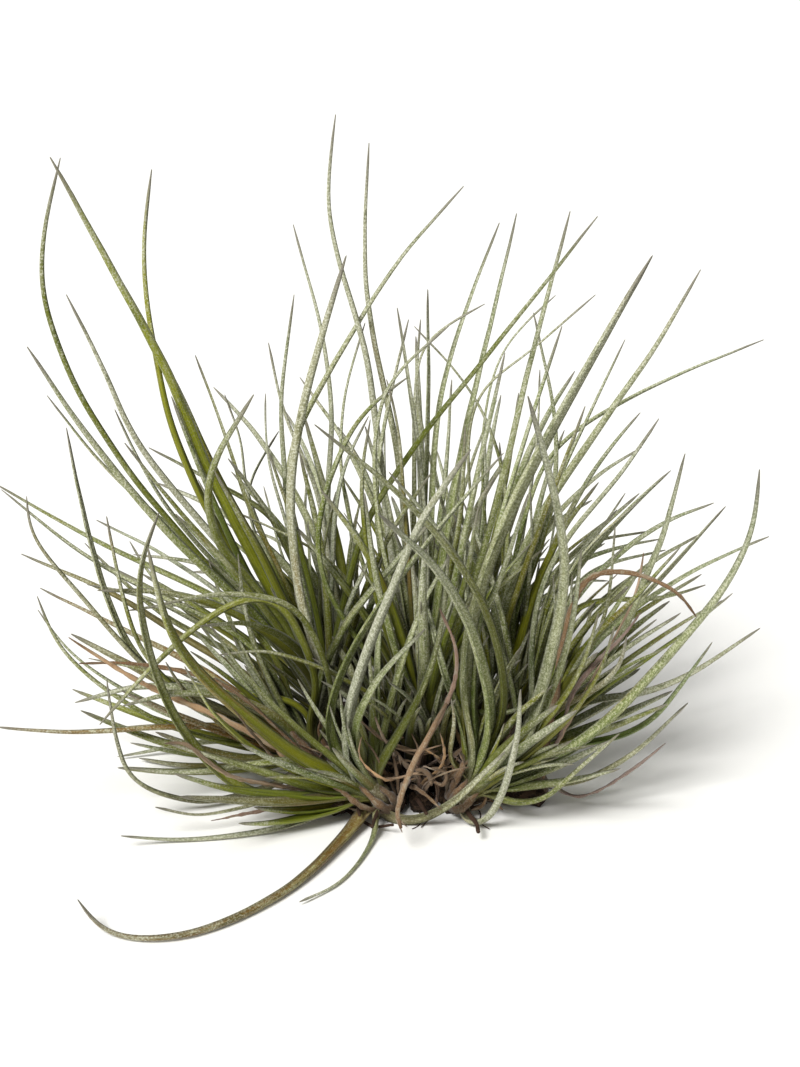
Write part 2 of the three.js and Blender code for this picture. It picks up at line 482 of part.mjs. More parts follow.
// Stations along a smooth curve through the points: closer where it turns.
function stations(points) {
  const curve = new THREE.CatmullRomCurve3(points, false, "centripetal");
  const fine = 96;
  const line = [];
  for (let i = 0; i <= fine; i++) line.push(curve.getPoint(i / fine));
  const length = [0];
  const turn = [0];
  for (let i = 1; i <= fine; i++) {
    length.push(length[i - 1] + line[i].distanceTo(line[i - 1]));
    let bend = 0;
    if (i < fine) {
      const before = line[i].clone().sub(line[i - 1]);
      const after = line[i + 1].clone().sub(line[i]);
      bend = before.angleTo(after);
    }
    turn.push(turn[i - 1] + bend);
  }
  const whole = length[fine];
  const turned = turn[fine];
  const count = Math.max(4, Math.min(8, Math.round(1.9 + 1.4 * turned + whole / 62)));
  const measure = length.map((v, i) => v / whole + (0.9 * turn[i]) / Math.max(turned, 0.6));
  const result = [];
  let k = 0;
  for (let i = 0; i <= count; i++) {
    const goal = (measure[fine] * i) / count;
    while (k < fine - 1 && measure[k + 1] < goal) k++;
    const share = Math.min(1, Math.max(0, (goal - measure[k]) / (measure[k + 1] - measure[k])));
    result.push(line[k].clone().lerp(line[k + 1], share));
  }
  return result;
}

// Half width of a leaf at a share of its length.
function halfWidth(width, share) {
  const flare = 1 + SHEATH_FLARE * Math.pow(Math.max(0, 1 - share / SHEATH_REACH), 2);
  return Math.max(THINNEST, ((width * FULLNESS) / 2) * (1 - (1 - TIP_SHARE) * Math.pow(share, TAPER)) * flare);
}

function bulbAxis(rosette) {
  return new THREE.Vector3(...rosette.lean).normalize();
}

// Every leaf of the plant as stations with half widths, before they are moved clear of each other.
function growLeaves() {
  const leaves = [];
  let seed = 11;
  for (const [node, rosette] of Object.entries(ROSETTES)) {
    const draw = seededDraws((seed += 7));
    const foot = new THREE.Vector3(...rosette.foot);
    const axis = bulbAxis(rosette);
    const middle = foot.clone().addScaledVector(axis, BULB_HEIGHT * 0.42);
    for (const [tone, width, depth, readings] of rosette.leaves) {
      const route = routePoints(middle, width, depth, readings);
      const start = rootOf(foot, axis, route[0], draw);
      leaves.push(makeLeaf(node, tone, width, [start, ...rise(start, axis, route), ...route]));
    }
    for (const fan of rosette.fans) {
      for (let i = 0; i < fan[0]; i++) {
        const width = 2.6 + 1.2 * draw();
        const route = fanPoints(middle, fan, i, width, draw);
        const tone = FAN_TONES[Math.floor(draw() * FAN_TONES.length)];
        const start = rootOf(foot, axis, route[0], draw);
        leaves.push(makeLeaf(node, tone, width, [start, ...rise(start, axis, route), ...route]));
      }
    }
    for (const [azimuth, length, climb] of [...inward(foot, draw), ...rosette.fill]) {
      const width = 2.2 + 1.2 * draw();
      const route = fillPoints(middle, azimuth, length, climb);
      const start = rootOf(foot, axis, route[0], draw);
      leaves.push(makeLeaf(node, rosette.tone, width, [start, ...route]));
    }
  }
  for (const [node, bunch] of Object.entries(DRY)) {
    const draw = seededDraws((seed += 7));
    const foot = new THREE.Vector3(...bunch.foot);
    const top = new THREE.Vector3(...bunch.top);
    for (const [tone, width, depth, readings] of bunch.leaves) {
      const start = foot.clone().lerp(top, 0.35 + 0.4 * draw());
      const route = routePoints(start, width, depth, readings);
      leaves.push(makeLeaf(node, tone, width, [start, ...route]));
    }
  }
  return leaves;
}

// Two steep leaves that lean over the middle of the clump.
function inward(foot, draw) {
  const across = CROWN_HUB[0] - foot.x;
  const back = CROWN_HUB[1] - foot.y;
  const azimuth = THREE.MathUtils.radToDeg(Math.atan2(back, across));
  return [-1, 1].map((side) => [azimuth + side * (14 + 26 * draw()), 62 + 42 * draw(), 76 + 10 * draw()]);
}

// Root of a leaf inside the bulb: on the side it leaves by, lower the more it leans out.
function rootOf(foot, axis, next, draw) {
  const away = next.clone().sub(foot);
  const steep = away.dot(axis) / away.length();
  const side = away.addScaledVector(axis, -away.dot(axis));
  const height = BULB_HEIGHT * (0.2 + 0.36 * Math.max(0, steep) + 0.1 * draw());
  const out = Math.min(0.5 * BULB_RADIUS, side.length());
  return foot.clone().addScaledVector(axis, height).addScaledVector(side.normalize(), out);
}

// One more point over the bulb, so that a long leaf leaves it along the axis.
function rise(start, axis, route) {
  const away = route[0].clone().sub(start);
  const reach = away.length();
  if (reach < 20) return [];
  const aim = away.normalize().lerp(axis, 0.45).normalize();
  return [start.clone().addScaledVector(aim, Math.min(16, reach * 0.4))];
}

function makeLeaf(node, tone, width, points) {
  const line = stations(points);
  const last = line.length - 1;
  let sum = 0;
  const along = line.map((p, i) => (sum += i ? p.distanceTo(line[i - 1]) : 0));
  const half = along.map((v) => halfWidth(width, v / sum));
  const free = along.map((v) => Math.min(1, Math.max(0, (v - 6) / 22)));
  free[0] = 0;
  return { node, tone, width, line, half, free, along, last };
}

// Woody stems and bulbs that leaves keep clear of: node, two ends and a radius
function obstacles() {
  const blocks = [];
  for (const [node, rosette] of Object.entries(ROSETTES)) {
    const foot = new THREE.Vector3(...rosette.foot);
    const axis = bulbAxis(rosette);
    const low = foot.clone().addScaledVector(axis, BULB_RADIUS * 0.8);
    const high = foot.clone().addScaledVector(axis, BULB_HEIGHT * 0.72);
    blocks.push({ node, a: low, b: high, radius: BULB_RADIUS });
    const hub = new THREE.Vector3(...CROWN_HUB);
    const end = foot.clone().setZ(Math.max(3, foot.z - 1.5));
    blocks.push({ node: "crown_with_roots", a: hub, b: end, radius: STEM_RADIUS });
  }
  for (const [node, bunch] of Object.entries(DRY)) {
    const foot = new THREE.Vector3(...bunch.foot);
    const top = new THREE.Vector3(...bunch.top);
    blocks.push({ node, a: foot.lerp(top, 0.2), b: top, radius: bunch.girth * 0.8 });
  }
  return blocks;
}

// Shares along two segments at which they come closest.
function closest(p, d1, q, d2) {
  const rx = p[0] - q[0];
  const ry = p[1] - q[1];
  const rz = p[2] - q[2];
  const a = d1[0] * d1[0] + d1[1] * d1[1] + d1[2] * d1[2] + 1e-9;
  const e = d2[0] * d2[0] + d2[1] * d2[1] + d2[2] * d2[2] + 1e-9;
  const f = d2[0] * rx + d2[1] * ry + d2[2] * rz;
  const c = d1[0] * rx + d1[1] * ry + d1[2] * rz;
  const b = d1[0] * d2[0] + d1[1] * d2[1] + d1[2] * d2[2];
  const denominator = a * e - b * b + 1e-9 * a * e;
  let s = Math.min(1, Math.max(0, (b * f - c * e) / denominator));
  const t = Math.min(1, Math.max(0, (b * s + f) / e));
  s = Math.min(1, Math.max(0, (b * t - c) / a));
  return [s, t];
}

// Moves the leaves of different rosettes apart, mostly along the line of sight, so that what is seen stays.
function spreadLeaves(leaves, blocks) {
  const rounds = 120;
  const points = [];
  const segments = [];
  for (const [index, leaf] of leaves.entries()) {
    const base = points.length;
    for (let i = 0; i <= leaf.last; i++) {
      const p = leaf.line[i];
      const half = leaf.half[i];
      points.push({ p: [p.x, p.y, p.z], half, free: leaf.free[i], low: half * 1.06 + FLOOR_GAP });
      if (i < leaf.last) {
        segments.push({ node: leaf.node, leaf: index, a: base + i, b: base + i + 1, from: leaf.along[i] });
      }
    }
  }
  for (const block of blocks) {
    const base = points.length;
    for (const p of [block.a, block.b]) {
      points.push({ p: [p.x, p.y, p.z], half: block.radius, free: 0, low: -99 });
    }
    segments.push({ node: block.node, leaf: -1, a: base, b: base + 1, from: 99 });
  }
  const toEye = [TOWARD.x, TOWARD.y, TOWARD.z];
  let near = [];
  for (let round = 0; round < rounds; round++) {
    if (round % 8 === 0) near = nearPairs(points, segments, 7);
    const push = points.map(() => [0, 0, 0, 0]);
    for (const [m, n] of near) {
      const one = segments[m];
      const two = segments[n];
      const a = points[one.a];
      const b = points[one.b];
      const c = points[two.a];
      const d = points[two.b];
      const d1 = [b.p[0] - a.p[0], b.p[1] - a.p[1], b.p[2] - a.p[2]];
      const d2 = [d.p[0] - c.p[0], d.p[1] - c.p[1], d.p[2] - c.p[2]];
      const [s, t] = closest(a.p, d1, c.p, d2);
      const away = [0, 1, 2].map((k) => a.p[k] + d1[k] * s - c.p[k] - d2[k] * t);
      const distance = Math.hypot(...away) + 1e-9;
      const gap = one.node === two.node ? SISTER_GAP : LEAF_GAP;
      const wanted = a.half + (b.half - a.half) * s + c.half + (d.half - c.half) * t + gap;
      const lack = wanted - distance;
      if (lack <= 0) continue;
      const unit = away.map((v) => v / distance);
      const facing = unit[0] * toEye[0] + unit[1] * toEye[1] + unit[2] * toEye[2];
      const side = facing > 0 ? 1 : -1;
      let aim = [0, 1, 2].map((k) => unit[k] * 0.45 + toEye[k] * side * 0.75);
      const size = Math.hypot(...aim);
      aim = aim.map((v) => v / size);
      const gain = Math.max(0.45, aim[0] * unit[0] + aim[1] * unit[1] + aim[2] * unit[2]);
      const move = (0.6 * lack) / gain;
      const shareOne = a.free * (1 - s) + b.free * s;
      const shareTwo = c.free * (1 - t) + d.free * t;
      const whole = shareOne + shareTwo;
      if (whole < 1e-6) continue;
      const stepOne = (move * shareOne) / whole;
      const stepTwo = (move * shareTwo) / whole;
      for (const [index, weight, step] of [
        [one.a, 1 - s, stepOne],
        [one.b, s, stepOne],
        [two.a, 1 - t, -stepTwo],
        [two.b, t, -stepTwo],
      ]) {
        if (weight <= 0 || points[index].free <= 0) continue;
        const lift = weight * step * Math.min(1.6, 1 / (weight * weight + (1 - weight) * (1 - weight)));
        for (let k = 0; k < 3; k++) push[index][k] += aim[k] * lift;
        push[index][3] += weight;
      }
    }
    for (const [index, point] of points.entries()) {
      const [x, y, z, weight] = push[index];
      if (weight > 0) {
        const damp = 1 / Math.max(1, Math.sqrt(weight));
        const size = Math.hypot(x, y, z) * damp;
        const limit = size > 1.2 ? 1.2 / size : 1;
        point.p[0] += x * damp * limit;
        point.p[1] += y * damp * limit;
        point.p[2] += z * damp * limit;
      }
      if (point.p[2] < point.low) point.p[2] = point.low;
    }
  }
  let k = 0;
  for (const leaf of leaves) {
    for (let i = 0; i <= leaf.last; i++) leaf.line[i].set(...points[k++].p);
  }
}

// Pairs of segments that are close: of different nodes, or of two leaves of a node well out from its bulb.
function nearPairs(points, segments, reach) {
  const boxes = segments.map(({ a, b }) => {
    const p = points[a].p;
    const q = points[b].p;
    const mid = [0, 1, 2].map((k) => (p[k] + q[k]) / 2);
    const half = Math.hypot(p[0] - q[0], p[1] - q[1], p[2] - q[2]) / 2;
    return [...mid, half + Math.max(points[a].half, points[b].half)];
  });
  const pairs = [];
  for (let i = 0; i < segments.length; i++) {
    const one = segments[i];
    const [x, y, z, r] = boxes[i];
    for (let j = i + 1; j < segments.length; j++) {
      const two = segments[j];
      if (one.leaf < 0 && two.leaf < 0) continue;
      const inside = one.from < SISTER_START || two.from < SISTER_START;
      if (one.node === two.node && (one.leaf === two.leaf || inside)) continue;
      const box = boxes[j];
      const far = r + box[3] + reach;
      const dx = x - box[0];
      const dy = y - box[1];
      const dz = z - box[2];
      if (dx * dx + dy * dy + dz * dz < far * far) pairs.push([i, j]);
    }
  }
  return pairs;
}

// Closed solid from triangles that share their vertices.
function solidFrom(geometry, near = 1e-4) {
  const plain = geometry.index ? geometry.toNonIndexed() : geometry.clone();
  plain.deleteAttribute("normal");
  plain.deleteAttribute("uv");
  const merged = mergeVertices(plain, near);
  return new wasm.Manifold(
    new wasm.Mesh({
      numProp: 3,
      vertProperties: new Float32Array(merged.attributes.position.array),
      triVerts: new Uint32Array(merged.index.array),
    }),
  );
}

// A closed skin over rings of equal size with one point at each end.
function skin(rings, first, last) {
  const sides = rings[0].length;
  const positions = [];
  const add = (...corners) => corners.forEach((c) => positions.push(c.x, c.y, c.z));
  for (let k = 0; k < sides; k++) {
    const m = (k + 1) % sides;
    if (first) add(first, rings[0][m], rings[0][k]);
    for (let i = 0; i + 1 < rings.length; i++) {
      add(rings[i][k], rings[i][m], rings[i + 1][m]);
      add(rings[i][k], rings[i + 1][m], rings[i + 1][k]);
    }
    add(last, rings[rings.length - 1][k], rings[rings.length - 1][m]);
  }
  if (!first) {
    for (let k = 1; k + 1 < sides; k++) add(rings[0][0], rings[0][k + 1], rings[0][k]);
  }
  return new THREE.BufferGeometry().setAttribute("position", new THREE.Float32BufferAttribute(positions, 3));
}

// Directions along a polyline at its stations.
function headings(line) {
  return line.map((p, i) => {
    const before = line[Math.max(0, i - 1)];
    const after = line[Math.min(line.length - 1, i + 1)];
    return after.clone().sub(before).normalize();
  });
}

// A channelled leaf: edges raised, keel below; narrow leaves have a flat upper face.
function leafSolid(leaf) {
  const tangents = headings(leaf.line);
  const out = leaf.line[leaf.last].clone().sub(leaf.line[0]).setZ(0);
  if (out.length() < 4) out.set(0, -1, 0);
  out.normalize();
  const side = new THREE.Vector3(-out.y, out.x, 0);
  const open = leaf.width >= CHANNEL_WIDTH;
  const rings = [];
  for (let i = 0; i < leaf.last; i++) {
    side.addScaledVector(tangents[i], -side.dot(tangents[i])).normalize();
    const upper = tangents[i].clone().cross(side).normalize();
    const p = leaf.line[i];
    const h = leaf.half[i];
    const left = p.clone().addScaledVector(side, h).addScaledVector(upper, h * EDGE_LIFT);
    const right = p.clone().addScaledVector(side, -h).addScaledVector(upper, h * EDGE_LIFT);
    const keel = p.clone().addScaledVector(upper, -h * KEEL_DEPTH);
    const ring = [left, keel, right];
    if (open) ring.push(p.clone().addScaledVector(upper, -h * CHANNEL_DEPTH));
    rings.push(ring);
  }
  return oriented(skin(rings, null, leaf.line[leaf.last]));
}

// The solid with its faces outwards.
function oriented(geometry) {
  const made = solidFrom(geometry);
  if (made.volume() > 0) return made;
  const turned = geometry.clone();
  const p = turned.attributes.position;
  for (let i = 0; i < p.count; i += 3) {
    const a = [p.getX(i), p.getY(i), p.getZ(i)];
    p.setXYZ(i, p.getX(i + 1), p.getY(i + 1), p.getZ(i + 1));
    p.setXYZ(i + 1, ...a);
  }
  return solidFrom(turned);
}

// A round bar along stations, thicker or thinner at each, with domed ends.
function bar(line, radii, sides, domed = 0.6) {
  const tangents = headings(line);
  const side = new THREE.Vector3(0.31, 0.2, 0.93);
  const rings = line.map((p, i) => {
    side.addScaledVector(tangents[i], -side.dot(tangents[i])).normalize();
    const other = tangents[i].clone().cross(side);
    const ring = [];
    for (let k = 0; k < sides; k++) {
      const angle = (2 * Math.PI * k) / sides;
      const spoke = side.clone().multiplyScalar(Math.cos(angle)).addScaledVector(other, Math.sin(angle));
      ring.push(p.clone().addScaledVector(spoke, radii[i]));
    }
    return ring;
  });
  const end = line.length - 1;
  const first = line[0].clone().addScaledVector(tangents[0], -radii[0] * domed);
  const last = line[end].clone().addScaledVector(tangents[end], radii[end] * domed);
  return oriented(skin(rings, first, last));
}

// Bulb of clasping sheaths: a turned ovoid on its axis, grown by a margin where it cuts its seat.
function bulbSolid(rosette, margin) {
  const profile = [
    [0, 0],
    [0.74, 0.1],
    [1, 0.36],
    [0.82, 0.66],
    [0.5, 0.9],
    [0, 1],
  ].map(([r, z]) => {
    const radius = r ? r * BULB_RADIUS + margin : 0;
    return new THREE.Vector2(radius, z * (BULB_HEIGHT + 2 * margin) - margin);
  });
  const geometry = new THREE.LatheGeometry(profile, 8);
  geometry.rotateX(Math.PI / 2);
  const turn = new THREE.Quaternion().setFromUnitVectors(new THREE.Vector3(0, 0, 1), bulbAxis(rosette));
  geometry.applyQuaternion(turn);
  geometry.translate(...rosette.foot);
  return oriented(geometry);
}

function drySheath(bunch, margin) {
  const foot = new THREE.Vector3(...bunch.foot);
  const top = new THREE.Vector3(...bunch.top);
  const line = [0.12, 0.5, 0.85].map((s) => foot.clone().lerp(top, s));
  const radii = [0.62, 1, 0.7].map((r) => r * bunch.girth * 0.8 + margin);
  return bar(line, radii, 7);
}

function union(solids) {
  return wasm.Manifold.union(solids);
}

// Half space over a height, as a wide block.
function over(height) {
  const block = new THREE.BoxGeometry(400, 400, 60);
  block.translate(0, 0, height + 30);
  return solidFrom(block);
}

function crownSolid(leaves) {
  const hub = new THREE.Vector3(...CROWN_HUB);
  const solids = [];
  const knot = new THREE.SphereGeometry(CROWN_HUB_RADIUS, 10, 5);
  knot.rotateX(Math.PI / 2);
  knot.scale(1.15, 1.25, 0.66);
  knot.translate(hub.x, hub.y, hub.z);
  solids.push(oriented(knot));
  const places = [...Object.values(ROSETTES), ...Object.values(DRY)];
  for (const [i, place] of places.entries()) {
    const foot = new THREE.Vector3(...place.foot);
    const end = foot.clone().setZ(Math.max(3, foot.z - 1.5));
    const across = end.clone().sub(hub).setZ(0).normalize();
    const bow = new THREE.Vector3(-across.y, across.x, 0).multiplyScalar(i % 2 ? 1.4 : -1.4);
    const middle = hub.clone().lerp(end, 0.55).add(bow);
    const line = [hub, middle, end];
    solids.push(bar(line, [STEM_RADIUS, STEM_RADIUS * 0.82, STEM_RADIUS * 0.95], 6));
  }
  let crown = union(solids).intersect(over(0));
  const roots = ROOTS.map(([thickness, depth, readings]) => {
    const start = rootStart(readings);
    const route = routePoints(start, thickness, depth, readings);
    const curve = new THREE.CatmullRomCurve3([start, ...route], false, "centripetal");
    const line = curve.getPoints(route.length);
    return bar(line, line.map((p, k) => (thickness / 2) * (1 - (0.35 * k) / line.length)), 4, 0.4);
  });
  crown = union([crown, ...roots]).intersect(over(0));
  for (const rosette of Object.values(ROSETTES)) crown = crown.subtract(bulbSolid(rosette, 0.35));
  for (const bunch of Object.values(DRY)) crown = crown.subtract(drySheath(bunch, 0.35));
  for (const leaf of leaves) {
    const near = leaf.line.slice(0, 4);
    const grown = bar(near, leaf.half.slice(0, 4).map((h) => h * 1.12 + 0.4), 5, 0.2);
    if (crown.intersect(grown).volume() > 0.001) crown = crown.subtract(grown);
  }
  return crown;
}

// A root grows out of the nearest stem of the crown.
function rootStart(readings) {
  const base = onSightLine(readings[readings.length - 2], readings[readings.length - 1], 10, 1.2);
  const hub = new THREE.Vector3(...CROWN_HUB);
  let best = hub;
  let least = Infinity;
  for (const rosette of Object.values(ROSETTES)) {
    const foot = new THREE.Vector3(...rosette.foot);
    const end = foot.setZ(3);
    for (let s = 0.4; s <= 0.9; s += 0.1) {
      const p = hub.clone().lerp(end, s);
      const gap = p.distanceTo(base);
      if (gap < least) {
        least = gap;
        best = p;
      }
    }
  }
  return best.clone().setZ(2.4);
}

function largestOf(solid) {
  return solid.decompose().sort((a, b) => b.volume() - a.volume())[0];
}

function geometryOf(solid) {
  const mesh = solid.getMesh();
  const count = mesh.vertProperties.length / mesh.numProp;
  const positions = new Float32Array(count * 3);
  for (let i = 0; i < count; i++) {
    positions.set(mesh.vertProperties.subarray(i * mesh.numProp, i * mesh.numProp + 3), i * 3);
  }
  const geometry = new THREE.BufferGeometry();
  geometry.setAttribute("position", new THREE.BufferAttribute(positions, 3));
  geometry.setIndex(new THREE.BufferAttribute(new Uint32Array(mesh.triVerts), 1));
  return geometry;
}

// Corners moved to whole thousandths of a millimetre, so that no two are nearly in one place.
function onGrid(geometry) {
  const p = geometry.attributes.position;
  for (let i = 0; i < p.array.length; i++) p.array[i] = Math.round(p.array[i] * 1000) / 1000;
  return geometry;
}

// Whether each edge lies between two faces and no more, so that the body nowhere only touches itself.
function edgesPaired(geometry) {
  const p = geometry.attributes.position;
  const index = geometry.index.array;
  const corner = (i) => [p.getX(i), p.getY(i), p.getZ(i)].map((v) => v.toFixed(4)).join();
  const faces = new Map();
  for (let i = 0; i < index.length; i += 3) {
    const names = [0, 1, 2].map((k) => corner(index[i + k]));
    for (let k = 0; k < 3; k++) {
      const edge = [names[k], names[(k + 1) % 3]].sort().join(" ");
      faces.set(edge, (faces.get(edge) || 0) + 1);
    }
  }
  return [...faces.values()].every((count) => count === 2);
}

// One closed body about the crown's middle, without slivers and loose scraps.
function nodeMesh(name, solid, tone) {
  const moved = largestOf(solid).translate([-CROWN_CENTRE.x, -CROWN_CENTRE.y, 0]).asOriginal();
  const bodyAt = (finest) => geometryOf(largestOf(solidFrom(onGrid(geometryOf(moved.simplify(finest))))));
  const sizes = FINEST.filter((finest) => edgesPaired(bodyAt(finest)));
  if (!sizes.length) throw new Error(name + " touches itself along an edge");
  const geometry = bodyAt(sizes[0]);
  geometry.computeVertexNormals();
  const material = new THREE.MeshStandardMaterial({ ...TONES[tone], metalness: 0 });
  material.name = tone;
  const result = new THREE.Mesh(geometry, material);
  result.name = name;
  return result;
}

const leaves = growLeaves();
spreadLeaves(leaves, obstacles());

const plant = new THREE.Group();
plant.name = "tillandsia_bartramii";
plant.add(nodeMesh("crown_with_roots", crownSolid(leaves), "bark"));
for (const [name, rosette] of Object.entries(ROSETTES)) {
  const blades = leaves.filter((leaf) => leaf.node === name).map(leafSolid);
  plant.add(nodeMesh(name, union([bulbSolid(rosette, 0), ...blades]), rosette.tone));
}
for (const [name, bunch] of Object.entries(DRY)) {
  const blades = leaves.filter((leaf) => leaf.node === name).map(leafSolid);
  plant.add(nodeMesh(name, union([drySheath(bunch, 0), ...blades]), bunch.tone));
}

export default plant;
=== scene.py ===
"""Air plant: a clump of rosettes of long channelled leaves under silver scales, with dry leaves,
a woody crown and wiry roots, lying on a pale floor.

The leaves are the ones of the solid model, grown here again by the same rules and the same draws,
as fine channelled blades. Lengths in the tables are millimetres, as the leaf routes were read;
the meshes are in metres, about the middle of the crown's flat underside.
"""

import math

import bpy
import numpy as np
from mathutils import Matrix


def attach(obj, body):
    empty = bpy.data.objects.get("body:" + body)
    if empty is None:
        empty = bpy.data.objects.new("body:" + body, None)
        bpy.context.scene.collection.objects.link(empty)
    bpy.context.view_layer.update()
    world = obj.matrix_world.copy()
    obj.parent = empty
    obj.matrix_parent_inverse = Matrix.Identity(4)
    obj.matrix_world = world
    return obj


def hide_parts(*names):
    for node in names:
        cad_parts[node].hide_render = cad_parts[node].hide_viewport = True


bl_info = {
    "name": "Air plant",
    "version": (1, 0, 0),
    "blender": (4, 5, 0),
    "location": "3D View > Sidebar > Air plant",
    "description": "Makes the leaves, dry leaves, crown and roots of an air plant and the stage it lies on",
    "category": "Add Mesh",
}

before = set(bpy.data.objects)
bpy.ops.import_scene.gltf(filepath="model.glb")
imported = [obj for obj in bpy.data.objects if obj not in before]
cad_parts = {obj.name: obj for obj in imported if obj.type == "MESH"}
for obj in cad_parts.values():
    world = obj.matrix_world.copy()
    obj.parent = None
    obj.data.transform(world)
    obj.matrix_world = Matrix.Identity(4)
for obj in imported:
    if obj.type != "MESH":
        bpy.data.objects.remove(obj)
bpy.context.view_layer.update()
BODY = "root"
MM = 0.001
STRIP_MAP = "OFBake"
ROUND = 2 * math.pi
GOLDEN_ANGLE = 2.39996

# Sizes of the plant that its leaves grow by, in millimetres
BULB_RADIUS = 5.0
BULB_HEIGHT = 19.0
BULB_MIDDLE = 0.42  # where the leaves part, as a share of the bulb's height
LEAF_GAP = 0.5  # between leaves of neighbouring rosettes
SISTER_GAP = 0.1  # between leaves of one rosette, from SISTER_START outwards
SISTER_START = 22.0
FREE_START, FREE_OVER = 6.0, 22.0  # where a leaf starts to be free to move, and over what length
THINNEST = 0.4  # least half width of a leaf before its point
TIP_SHARE = 0.25  # width left at the point, as a share of the width at the base
TAPER = 1.8  # how late along its length a leaf narrows
FULLNESS = 1.1  # width at the base over the width as read above it
SHEATH_FLARE = 0.35  # how much wider a leaf is where it clasps the rosette
SHEATH_REACH = 0.42  # share of a leaf's length over which that is lost
FLOOR_GAP = 0.12
KEEL_SHARE = 0.7  # share of a blade's depth that lies below its line
STEM_RADIUS = 3.6
CROWN_CENTRE = np.array([5.0, 16.0, 0.0])
CROWN_HUB = np.array([5.0, 16.0, 5.0])
SHADED_HEART_RADII = (60, 46, 60)  # of the painted shade in the heart of the plant
SHADED_HEART_MIDDLE = (-0.18, 0.1, 0.18)  # as a share of those radii

# Fineness: samples of a smooth line, points on the outside and in the channel of a blade, the keel's place there
COARSE_SAMPLES, FINE_SAMPLES = 96, 160
OUTER_POINTS, INNER_POINTS = 7, 5
KEEL = OUTER_POINTS // 2

# How leaves that meet are moved apart: rounds, rounds between two looks for pairs, how far a look reaches,
# shares of the parting direction and of the sight line, share of the lack made up, and the longest step
ROUNDS, LOOK_EVERY, LOOK_REACH = 120, 8, 7
PARTING_SHARE, SIGHT_SHARE = 0.45, 0.75
EASE, LONGEST_STEP = 0.6, 1.2

# Seeds: of the growth, of the tones and turns of rosettes, dry leaves and litter, and of the fine roots
GROWTH_SEED, SEED_STEP = 11, 7
ROSETTE_SEED, DRY_SEED, LITTER_SEED, ROOT_SEED = 100, 200, 300, 61

# Line of sight along which the leaf routes were read: in front of the plant and 20 degrees above
ELEVATION = math.radians(20)
EYE_DISTANCE = 560.0
AIM_ACROSS = -1.5
AIM_UP = 80.0
VIEW_HEIGHT = 320.1
ACROSS = np.array([1.0, 0.0, 0.0])
UPWARD = np.array([0.0, math.sin(ELEVATION), math.cos(ELEVATION)])
TOWARD = np.array([0.0, -math.cos(ELEVATION), math.sin(ELEVATION)])
EYE = ACROSS * AIM_ACROSS + UPWARD * AIM_UP + TOWARD * EYE_DISTANCE

# Light and camera: width of the window as seen from the plant, how its lamp is turned, and the camera's film
WINDOW_WIDTH = math.radians(24)
WINDOW_TURN = (math.radians(34), math.radians(-28), 0)
FILM = 36
CLIP = (0.02, 40)

BARE = (0.1, 0.07, 0.05)  # colour of the skins that no leaf tone covers

# Tones to draw from: of the leaves of a fan, of young leaves, of old sheaths and of dead curls
FAN_TONES = ("silver", "olive", "green", "silver", "olive", "vivid")
YOUNG_TONES = ("olive", "green", "silver", "vivid", "silver")
SHEATH_TONES = ("brown", "tan", "brown", "brown")
CURL_TONES = ("tan", "brown", "mauve", "tan", "brown")

# Leaves, by their place in the rosette, that have turned another tone than their route gives
TURNED = {
    "rosette_front_left": {5: "bronze", 17: "brown"},
    "rosette_left_low": {
        3: "brown", 4: "bronze", 13: "brown", 14: "bronze", 19: "brown", 21: "bronze", 24: "brown", 26: "brown",
    },
}


def rows(text, heads=2):
    """Rows of a table: each starts with a word, then come as many numbers as heads, then the rest as one list."""
    found = []
    for word in text.split():
        if word.isalpha():
            found.append([word])
        else:
            found[-1].append(float(word))
    return [[*row[: heads + 1], row[heads + 1 :]] for row in found]


